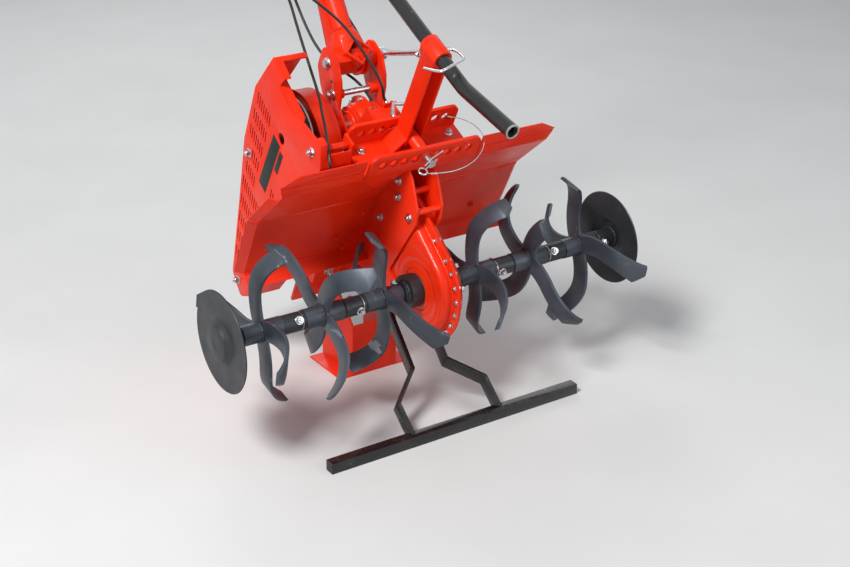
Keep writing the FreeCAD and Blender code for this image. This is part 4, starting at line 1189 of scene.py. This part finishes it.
@dataclass
class CoverTrim(Assembly):
    """Bolts, spacer collar, folded flap and blank panels of the belt cover."""

    face_x: float = -230.0
    bolts: tuple[Flat, ...] = ((-38.0, 447.0), (308.0, 366.0), (-248.0, 232.0))
    panel: tuple[Flat, ...] = ((-163.0, 376.0), (-157.0, 343.0), (-4.0, 352.0), (-10.0, 385.0))
    strip: tuple[Flat, ...] = ((-147.0, 339.0), (-145.0, 324.0), (-86.0, 327.0), (-88.0, 342.0))

    def build(self) -> None:
        """Fastens the cover and lays on its blank panels."""
        bolt = Fastener(13, 8, 11, 1.8, thread_out=4)
        self.seat(bolt.at([((self.face_x, y, z), Way.LEFT) for y, z in self.bolts]), "cover_bolts", Finishes.ZINC)
        collar = Bench.lathe(ring(8.3, 12, 0, 2.4), (self.face_x + 3.1, *self.bolts[-1]), Way.RIGHT, 32)
        self.seat(collar, "cover_spacer_collar", Finishes.ZINC)
        flap = [(-230, -284, 398), (-208, -288, 414), (-208, -267, 313), (-217, -264, 301), (-230, -268, 320)]
        self.seat(Bench.outline(flap, (0.0, 2.0, 0.4), 0.5), "cover_folded_flap", Finishes.RED)
        for name, corners in (("cover_blank_panel", self.panel), ("cover_blank_strip", self.strip)):
            self.seat(Bench.side_outline(self.face_x, corners, -0.7, 0.2), name, Finishes.PANEL)


@dataclass
class HoodTrim(Assembly):
    """Painted coach bolts of the hoods."""

    crown_z: float = 208.5

    def build(self) -> None:
        """Adds painted coach bolts under the crown and zinc nuts above it."""
        spots = [(side * x, y) for x, y in ((118, 26), (92, 66), (250, 26), (64, -40)) for side in (-1, 1)]
        head = Fastener(11, 3.2, 8.5, 1.4, dome=True)
        self.seat(head.at([((*spot, self.crown_z), Way.DOWN) for spot in spots]), "hood_coach_bolts", Finishes.RED)
        nut = Fastener(13, 7, 10, 1.8, thread_out=4)
        self.seat(nut.at([((*spot, self.crown_z + 3.1), Way.UP) for spot in spots]), "hood_nuts", Finishes.ZINC)


@dataclass
class MountTrim(Assembly):
    """Engine mount blocks below the base, seen behind the left hood."""

    def build(self) -> None:
        """Models the pressed mount box with its slot and bolt on both sides."""
        boxes, bolts = [], []
        for side, _ in SIDES:
            (low, high), (slot_low, slot_high) = sorted((side * 66, side * 138)), sorted((side * 84, side * 120))
            boxes.append(Bench.cut(Bench.cube((low, 112, 214), (high, 186, 261.5), 3.0),
                                   Bench.cube((slot_low, 108, 232), (slot_high, 116, 240))))
            bolts.append(((side * 102.0, 150.0, 214.0), Way.DOWN))
        self.seat(Bench.join(boxes), "engine_mount_boxes", Finishes.RED)
        self.seat(Fastener(13, 7, 12, 2.2, thread_out=5).at(bolts), "engine_mount_bolts", Finishes.ZINC)


@dataclass
class ColumnTrim(Assembly):
    """Swivel head, clamp, collar and bolts of the handlebar column."""

    body: Body = Body.HANDLEBAR
    head_ends: Flat = (8.0, 46.0)
    head_radius: float = 38.0
    length: float = 350.0
    radius: float = 24.0
    yoke_rod: Flat = (-189.0, 432.0)
    brace_bolt: Flat = (-449.0, 260.0)
    small_hole: Flat = (-214.0, 448.0)

    def build(self) -> None:
        """Models the head with its socket, the swivel discs, the pole with its side plates and the ear bolts."""
        self.head()
        self.swivel()
        self.pole()
        chassis = {"body": Body.CHASSIS}
        pivot = [(0, 7.0), (5, 6.6), (9.5, 5.0), (12.8, 2.4), (14, 0.3), (14, 0), (0, 0)]
        self.seat(Bench.lathe(pivot, (-60.2, PIVOT_Y, PIVOT_Z), Way.LEFT), "pivot_dome_head", Finishes.ZINC, **chassis)
        nut = Fastener(17, 9, 13, 2.4, thread=6.5, thread_out=4)
        places = [((-60.0, *self.yoke_rod), Way.LEFT), ((86.6, PIVOT_Y, PIVOT_Z), Way.RIGHT)]
        self.seat(nut.at(places), "yoke_nuts", Finishes.ZINC, **chassis)
        cap = [(0, 16), (8, 15.4), (11, 12.5), (11.6, 2), (12.6, 0), (0, 0)]
        self.seat(Bench.lathe(cap, (60.2, *self.yoke_rod), Way.RIGHT, 32), "yoke_rod_cap", Finishes.RUBBER, **chassis)
        small = Fastener(9, 5, 7.5, 1.2, thread=2.8, thread_out=3)
        places = [((26.2, *self.brace_bolt), Way.RIGHT), ((-10.2, *self.brace_bolt), Way.LEFT)]
        self.seat(small.at(places), "brace_bolt_ends", Finishes.ZINC, **chassis)
        # Painted shade: a thin dark disc on the left ear stands in for the shade inside its small hole.
        hole = Bench.lathe([(0, 0.15), (3.6, 0.15), (3.6, 0), (0, 0)], (-60.0, *self.small_hole), Way.LEFT, 20)
        self.seat(hole, "ear_small_hole", Finishes.SHADE, **chassis)

    def head(self) -> None:
        """Eight-sided head with a square socket on edge towards the rear, and the hexagon screw in it."""
        low, high = self.head_ends
        shell = Bench.bevel(Bench.rod((0, 0, low), (0, 0, high), self.head_radius, 8), 4.0, 3)
        socket = Bench.bevel(Bench.rod((0, -46, 6), (0, 6, 6), 35.0, 4), 3.0, 3)
        pocket = Bench.rod((0, -60, 6), (0, -16, 6), 27.0, 4)
        twin = Bench.copy(pocket)
        socket, shell = Bench.cut(socket, pocket), Bench.cut(shell, twin)
        head = Bench.place(Bench.join([shell, socket]), column_matrix())
        self.seat(head, "column_head", Finishes.RED_CAST)
        spot = Matrix.Translation(Vector((0, -17, 5))) @ Matrix.Rotation(math.pi / 2, 4, "X")
        screw = Bench.place(Fastener(21, 11, 14, 2.0).build(), column_matrix() @ spot)
        self.seat(screw, "column_head_screw", Finishes.RED)

    def swivel(self) -> None:
        """Block between the ears and the swivel discs beside it, standing for the plain block."""
        pivot = (PIVOT_Y, PIVOT_Z)
        disc = [(0, 0), (35, 0), (38, 1.5), (38, 7.5), (35, 9), (0, 9)]
        parts = [Bench.cube((-52, -266, 452), (5, -222, 484), 4.0),
                 Bench.rod((-53, *pivot), (36, *pivot), 24.0, 48, 1.5),
                 *(Bench.lathe(disc, (x, *pivot), Way.RIGHT, 56) for x in (7.0, 20.0)),
                 Bench.rod((29, *pivot), (53, *pivot), 26.0, 48, 1.5)]
        for part in parts:
            Bench.cut(part, Bench.rod((-60, *pivot), (60, *pivot), 10.3, 40))
        self.seat(Bench.join(parts), "column_swivel", Finishes.RED_CAST, "column_block")

    def pole(self) -> None:
        """Tube with its flared collar, weld bead, side plates and clamp, standing for the plain tube."""
        radius, top, flare = self.radius, self.length, self.head_radius
        tube = Bench.lathe([(radius, 40), (radius, top - 45), (radius - 3, top - 45), (radius - 3, 40), (radius, 40)],
                           steps=56)
        collar = Bench.lathe([(radius - 1, 40), (flare - 4, 40), (flare - 3.4, 47), (flare - 6, 54), (29.5, 60),
                              (26.8, 65), (radius + 0.2, 68), (radius - 1, 68), (radius - 1, 40)], steps=56)
        bead = []
        for step in range(44):
            angle = math.tau * step / 44
            wave = 25.0 + 0.5 * math.sin(angle * 13)
            bead.append((wave * math.cos(angle), wave * math.sin(angle), 68.5 + 0.7 * math.sin(angle * 9)))
        weld = Bench.wire(bead, 2.4, closed=True, resolution=2)
        clamp = Bench.lathe([(radius - 3, top - 46), (radius + 4.2, top - 46), (radius + 5, top - 45),
                             (radius + 5, top + 3.5), (radius + 3.5, top + 5), (0, top + 5), (0, top - 46),
                             (radius - 3, top - 46)], steps=56)
        clamp = Bench.cut(clamp, Bench.rod((-60, 0, top - 20), (60, 0, top - 20), 12.75, 48))
        corners = ((6, 46), (24, 33), (36, 30), (42, 36), (41, 50), (22, 150), (14, 166), (4, 170), (0, 160), (0, 60))
        plates = [Bench.side_outline(side * 23.4, corners, side * 5.0, 0.8) for side in (-1, 1)]
        pole = Bench.place(Bench.join([tube, collar, weld, clamp, *plates]), column_matrix())
        self.seat(pole, "column_pole", Finishes.RED, "column_tube")


@dataclass
class Cables(Assembly):
    """Control cables, their bracket and sheath ends."""

    sheath: float = 3.2
    low: Point = (0, -190, 430)
    high: Point = (0, -300, 600)
    clutch: tuple[Point, ...] = (
        (-214, -208, 168), (-216, -238, 172), (-214, -262, 190), (-202, -268, 224), (-178, -263, 276),
        (-158, -257, 330), (-142, -254, 366), (-133, -264, 417), (-124, -280, 481), (-107, -288, 558), (-84, -290, 640),
        (-80, -305, 705), (-92, -350, 760), (-125, -405, 786), (-190, -455, 790), (-250, -500, 786),
        (-283, -560, 788), (-290, -625, 803), (-290, -690, 821))
    throttle: tuple[Point, ...] = (
        (19, -230, 334), (16, -235, 346), (10, -248, 350), (6, -268, 354), (-2, -290, 382), (-13, -307, 412),
        (-28, -328, 447), (-48, -350, 480), (-80, -375, 503), (-116, -398, 528), (-160, -428, 580),
        (-200, -455, 650), (-235, -482, 720), (-262, -520, 764), (-276, -580, 783), (-281, -650, 801),
        (-281, -712, 818))
    gear: tuple[Point, ...] = (
        (46, -88, 276), (46, -104, 310), (44, -128, 350), (40, -158, 380), (26, -186, 432), (8, -196, 470),
        (-14, -190, 520), (-32, -204, 566), (-40, -226, 616), (-44, -256, 676), (-60, -306, 728),
        (-92, -366, 774), (-140, -420, 796), (-205, -462, 802), (-262, -508, 800),
        (-298, -570, 804), (-302, -640, 820), (-302, -690, 831))
    stop: tuple[Point, ...] = (
        (78, -98, 276), (80, -112, 330), (84, -130, 400), (90, -152, 470), (96, -176, 530), (92, -200, 590),
        (84, -216, 650), (66, -246, 716), (40, -300, 760), (80, -360, 790), (150, -420, 800), (220, -470, 800),
        (268, -520, 800), (288, -590, 806), (290, -650, 815), (290, -700, 826))

    def cable(self, name: str, points: Sequence[Point]) -> None:
        """Bends one cable, whose run lies along the chassis below the pivot and along the column above it.

        Args:
            name: Its name.
            points: Control points of its run, from the chassis up.
        """
        piece = self.lay(Bench.wire(points, self.sheath, resolution=12), name, Finishes.CABLE, angle=60)
        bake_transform(piece)

    def ferrule(self, end: Point, after: Point) -> Piece:
        """Bright sheath end at one end of a cable."""
        profile = [(0, -7), (2.2, -7), (2.2, 0), (4.2, 0), (4.2, 9), (3.6, 10), (3.4, 19), (2.7, 20), (0, 20)]
        return Bench.lathe(profile, end, tuple((Vector(after) - Vector(end)).normalized()), 20)

    def build(self) -> None:
        """Adds the four cables with their ends, the bracket on the case and the feet."""
        runs = {"clutch_cable": self.clutch, "throttle_cable": self.throttle, "gear_cable": self.gear,
                "stop_cable": self.stop}
        for name, points in runs.items():
            self.cable(name, points)
        self.seat(Bench.join([self.ferrule(*run[:2]) for run in runs.values()]), "cable_ends_low", Finishes.ZINC)
        self.seat(Bench.join([self.ferrule(*run[:-3:-1]) for run in runs.values()]), "cable_ends_high",
                  Finishes.ZINC, body=Body.HANDLEBAR)
        bracket = (((-30, -232, 293), (34, -228, 330)), ((-30, -232, 290), (34, -196, 294)),
                   ((2, -244, 326), (34, -228, 330)))
        feet = (((-222, -214, 160), (-206, -206, 176)), ((36, -110, 269.8), (90, -84, 273)))
        for name, blocks, round_by in (("cable_bracket", bracket, 1.2), ("cable_feet", feet, 1.0)):
            self.seat(Bench.join([Bench.cube(low, high, round_by) for low, high in blocks]), name, Finishes.RED)


@dataclass
class HandlebarTrim(Assembly):
    """Grips, levers, saddle clamp and cable ties of the handlebar."""

    body: Body = Body.HANDLEBAR
    bar_x: float = 290.0
    rear: Flat = (-837.9, 869.3)
    bend: Flat = (-467.9, 784.3)
    saddle_x: float = 31.0
    saddle_top: float = 354.0

    def along_bar(self, share: float, drop: float = 0.0) -> Flat:
        """Finds a place beside the grip's run.

        Args:
            share: Millimetres from the bar's end towards the bend.
            drop: Millimetres below the bar.

        Returns:
            The place as (forward, up).
        """
        (y0, z0), (y1, z1) = self.rear, self.bend
        length = math.hypot(y1 - y0, z1 - z0)
        return (y0 + (y1 - y0) * share / length - drop * (z0 - z1) / length,
                z0 + (z1 - z0) * share / length - drop * (y1 - y0) / length)

    def build(self) -> None:
        """Models ribbed grips, both levers with brackets, the saddle clamp and the cable ties."""
        ribs, height = [(12.9, -2), (0, -2.2), (0, -6.5), (14.5, -6.2), (18.6, -4), (19.4, 0)], 3.0
        while height < 116:
            ribs += [(17.4, height), (17.4, height + 1.6), (15.9, height + 2.6), (15.9, height + 4.0)]
            height += 5.0
        ribs += [(17.6, 118), (19.8, 120), (19.8, 124.5), (18.4, 126), (12.9, 126), (12.9, -2)]
        clip = [(12.7, -9), (18, -9), (19, -8), (19, 8), (18, 9), (12.7, 9), (12.7, -9)]
        (y0, z0), (y1, z1) = self.along_bar(0), self.along_bar(125)
        way = tuple(Vector((0, y1 - y0, z1 - z0)).normalized())
        pod_y, pod_z = self.along_bar(150, 24)
        levers, brackets = [], []
        for side, word in SIDES:
            x = side * self.bar_x
            self.seat(Bench.lathe(ribs, (x, y0, z0), way), f"grip_{word}_ribbed", Finishes.RUBBER, f"grip_{word}",
                      angle=50)
            brackets += [Bench.lathe(clip, (x, *self.along_bar(150)), way),
                         Bench.cube((x - 9, pod_y - 17, pod_z - 11), (x + 9, pod_y + 17, pod_z + 11), 4.0)]
            run = [(x, *self.along_bar(*spot))
                   for spot in ((158, 26), (138, 40), (110, 47), (70, 48), (30, 46), (2, 50))]
            levers += [Bench.wire(run, 5.0, resolution=8),
                       Bench.lathe([(0, -6), (5, -5), (6.4, 0), (5, 5), (0, 6)], run[-1], way, 20)]
        self.seat(Bench.join(brackets), "lever_brackets", Finishes.PLASTIC)
        self.seat(Bench.join(levers), "hand_levers", Finishes.BLACK)
        place, xs = column_matrix(), (-self.saddle_x, self.saddle_x)
        saddle = Bench.join([Bench.cube((x - 9, -24, 306), (x + 9, 24, self.saddle_top), 5.0) for x in xs])
        saddle = Bench.cut(saddle, Bench.rod((-60, 0, 330), (60, 0, 330), 12.7, 40))
        self.seat(Bench.place(saddle, place), "bar_saddles", Finishes.RED)
        up = tuple(place.to_3x3() @ Vector((0, 0, 1)))
        screws = [(tuple(place @ Vector((x, y, self.saddle_top))), up) for x in xs for y in (-18.5, 18.5)]
        self.seat(Fastener(10, 6, 8, 1.4, 3, 2).at(screws), "bar_saddle_screws", Finishes.ZINC)
        ties = [Bench.lathe(ring(24.3, 25.6, 0, 4), tuple(place @ Vector((0, 0, along))), up)
                for along in (190.0, 262.0)]
        self.seat(Bench.join(ties), "column_ties", Finishes.PLASTIC)


@dataclass
class EngineTrim(Assembly):
    """Dressed engine: crankcase, finned head, tank, starter, muffler and filter."""

    crank: Flat = (175.0, 372.0)

    def build(self) -> None:
        """Models every engine piece over the plain ones."""
        self.crankcase()
        self.head()
        self.tank()
        self.starter()
        self.muffler()
        self.filter()

    def crankcase(self) -> None:
        """Cast crankcase with ribs, a flange, its sump bolts and a filler plug."""
        body = Bench.cube((-112, 80, 270.4), (118, 275, 464), 11.0, 4)
        ribs = [Bench.cube((-114.2, 92, z), (119.5, 263, z + 4), 1.6, 2) for z in (300, 322, 344, 408, 430, 448)]
        ribs += [Bench.cube((x, 78.2, 284), (x + 5, 276.6, 398), 1.8, 2) for x in (-84, -44, 0, 44, 84)]
        flange = Bench.cube((-118, 74, 270.4), (122, 281, 279), 2.4, 3)
        boss = Bench.lathe([(14, 0), (44, 0), (46, 2), (46, 9), (42, 13), (26, 14), (20, 18), (14, 18), (14, 0)],
                           (-112.0, *self.crank), Way.LEFT, 48)
        self.seat(Bench.join([body, flange, boss, *ribs]), "engine_crankcase_cast", Finishes.ALLOY,
                  "engine_crankcase")
        places = [((x, y, 279.0), Way.UP) for x in (-112.5, 116.5) for y in (80, 178, 275)]
        places += [((-113.5, y, z), Way.LEFT) for y, z in circle(*self.crank, 60, range(30, 390, 60))]
        self.seat(Fastener(10, 5.5, 8, 1.2).at(places), "engine_case_bolts", Finishes.ZINC)
        plug = [(0, 16), (9, 16), (12, 13), (12, 6), (9, 5), (9, 0), (0, 0)]
        self.seat(Bench.lathe(plug, (70, 80, 300), Way.BACK, 32), "oil_filler_plug", Finishes.PLASTIC)

    def head(self) -> None:
        """Cooling fins, a rocker cover and a spark plug."""
        core = Bench.cube((-58, 127, 464.3), (68, 251, 531.5), 4.0)
        fins = [Bench.cube((-70, 115, z), (80, 263, z + 2.6), 0.9, 2) for z in range(467, 530, 8)]
        cover = Bench.cube((-50, 250, 476), (60, 263, 524), 5.0)
        self.seat(Bench.join([core, cover, *fins]), "engine_head_finned", Finishes.ALLOY, "engine_head")
        cap = Bench.lathe([(0, 22), (5, 22), (7.5, 18), (8, 6), (6, 0), (0, 0)], (-70, 180, 500), Way.LEFT, 24)
        lead = Bench.wire([(-90, 180, 500), (-100, 170, 496), (-104, 150, 480), (-106, 130, 462), (-100, 118, 446)],
                          3.4, resolution=8)
        self.seat(Bench.join([cap, lead]), "spark_plug_lead", Finishes.RUBBER, angle=60)

    def tank(self) -> None:
        """Crowned tank with a rolled seam and a ribbed filler cap."""
        shell = Bench.cube((-118, 70, 532.3), (122, 265, 617))
        Bench.apply(shell, "SUBSURF", levels=1, render_levels=1, subdivision_type="SIMPLE")
        Bench.bevel(shell, 22.0, 6, 50)
        seam = Bench.cube((-121, 67, 571), (125, 268, 574.6), 1.4, 2)
        self.seat(Bench.join([shell, seam]), "engine_tank_pressed", Finishes.TANK, "engine_tank", angle=40)
        cap = [(0, 22), (16, 22), (24, 20), (28, 15), (28, 3), (24, 0), (0, 0)]
        lid = Bench.lathe(cap, (30, 190, 600), steps=36)
        teeth = [Bench.rod((x, y, 604), (x, y, 615), 1.8, 8) for x, y in circle(30, 190, 28, range(0, 360, 20))]
        self.seat(Bench.join([lid, *teeth]), "fuel_cap", Finishes.PLASTIC)

    def starter(self) -> None:
        """Recoil starter housing with radial vents, a centre boss and its pull handle."""
        y, z = self.crank[0], self.crank[1] + 8
        profile = [(0, 0), (92, 0), (92, 22), (89, 30), (80, 34), (66, 36), (64, 44), (52, 54), (30, 57.4), (0, 57.6)]
        bowl = Bench.lathe(profile, (118.3, y, z), Way.RIGHT, 72)
        vent_x, vent_stretch = 146, 6.0
        cutters = []
        for inner, outer in zip(*(circle(y, z, radius, range(0, 360, 18)) for radius in (70, 84))):
            cutter = Bench.rod((vent_x, *inner), (vent_x, *outer), 3.2, 10)
            cutter.scale = (vent_stretch, 1.0, 1.0)
            cutter.location = (vent_x - vent_x * vent_stretch, 0, 0)
            cutters.append(Bench.settle(cutter))
        self.seat(Bench.cut(bowl, Bench.join(cutters)), "engine_starter_vented", Finishes.PLASTIC, "engine_starter",
                  angle=28)
        grip = Bench.rod((150, y - 74, z + 78), (150, y - 98, z + 96), 6.5, 20, 2.6)
        bar = Bench.rod((128, y - 99, z + 97), (172, y - 99, z + 97), 7.5, 24, 3.0)
        self.seat(Bench.join([grip, bar]), "starter_handle", Finishes.RUBBER)
        screws = [((148.8, *spot), Way.RIGHT) for spot in circle(y, z, 88, (45, 135, 225, 315))]
        self.seat(Fastener(8, 4, 6.5, 1).at(screws), "starter_screws", Finishes.ZINC)

    def muffler(self) -> None:
        """Muffler with a seam, a slotted guard and its outlet."""
        box = Bench.cube((-60, 275.3, 392), (60, 325, 482), 14.0, 5)
        rib = Bench.cube((-62, 300, 390), (62, 303, 484), 1.2, 2)
        guard = Bench.cube((-56, 325.5, 396), (56, 333, 478), 3.0)
        slots = Bench.join([Bench.cube((-44, 320, z), (44, 340, z + 5)) for z in range(406, 470, 12)])
        guard = Bench.cut(guard, slots)
        pipe = Bench.lathe(ring(7, 10, 0, 20), (40, 320, 470), (0.6, 0.5, 0.3), 24)
        self.seat(Bench.join([box, rib, guard, pipe]), "engine_muffler_guarded", Finishes.HOT, "engine_muffler")

    def filter(self) -> None:
        """Air filter box with a ribbed lid."""
        box = Bench.cube((-70, 58, 466), (50, 114.7, 530), 8.0, 4)
        lid = Bench.cube((-66, 46.5, 470), (46, 60, 526), 5.0, 3)
        ribs = [Bench.cube((-54, 44.8, z), (34, 48, z + 4), 1.2, 2) for z in range(480, 520, 10)]
        self.seat(Bench.join([box, lid, *ribs]), "engine_air_filter_boxed", Finishes.PLASTIC, "engine_air_filter")


@dataclass
class StandTrim(Assembly):
    """Weld beads, end caps and pivot nuts of the parking stand."""

    body: Body = Body.STAND
    foot_z: float = -239.3
    axle_height: float = 307.0
    foot_half: float = 12.5
    foot_end: float = 325.0
    leg_x: float = 116.0

    def foot_y(self) -> float:
        """Forward place of the cross foot's middle, lying on the floor."""
        tip = math.radians(90 - POSE.tip_degrees)
        return (self.axle_height + math.sin(tip) * self.foot_z - self.foot_half) / math.cos(tip)

    def build(self) -> None:
        """Adds the stand's small pieces."""
        y, z = self.foot_y(), self.foot_z
        place = Matrix.Translation(Vector((0, y, z))) @ Matrix.Rotation(math.radians(POSE.tip_degrees), 4, "X")
        caps, beads = [], []
        for side, _ in SIDES:
            low, high = sorted((side * self.foot_end, side * (self.foot_end + 2.4)))
            caps.append(Bench.place(Bench.cube((low, -12.8, -12.8), (high, 12.8, 12.8), 1.6), place))
            for x in (side * self.leg_x - 6.2, side * self.leg_x + 6.2):
                run = [(x + 0.6 * math.sin(t * 2.1), y - 13 + t * 2.6, z + 10.5 + 0.5 * t) for t in range(11)]
                beads.append(Bench.wire(run, 2.2, resolution=4))
        self.seat(Bench.join(caps), "stand_end_caps", Finishes.PLASTIC)
        self.seat(Bench.join(beads), "stand_weld_beads", Finishes.BLACK, angle=60)
        places = [((side * 50.2, 122, 48), (side, 0, 0)) for side in (-1, 1)]
        nut = Fastener(17, 8, 13, 2.2, thread=6, thread_out=3)
        self.seat(nut.at(places), "stand_pivot_nuts", Finishes.ZINC, body=Body.CHASSIS)


def main() -> None:
    """Dresses the machine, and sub-assembly by sub-assembly."""
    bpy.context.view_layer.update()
    Studio().build()
    for assembly in (Coats(), SoftEdges(), Cables(), ColumnTrim(), ChainCaseTrim(), RotorTrim(), HitchTrim(),
                     SpurTrim(), CoverTrim(), HoodTrim(), MountTrim(), HandlebarTrim(), EngineTrim(), StandTrim()):
        LOG.info("building %s", type(assembly).__name__)
        assembly.build()


if __name__ == "__main__":
    main()
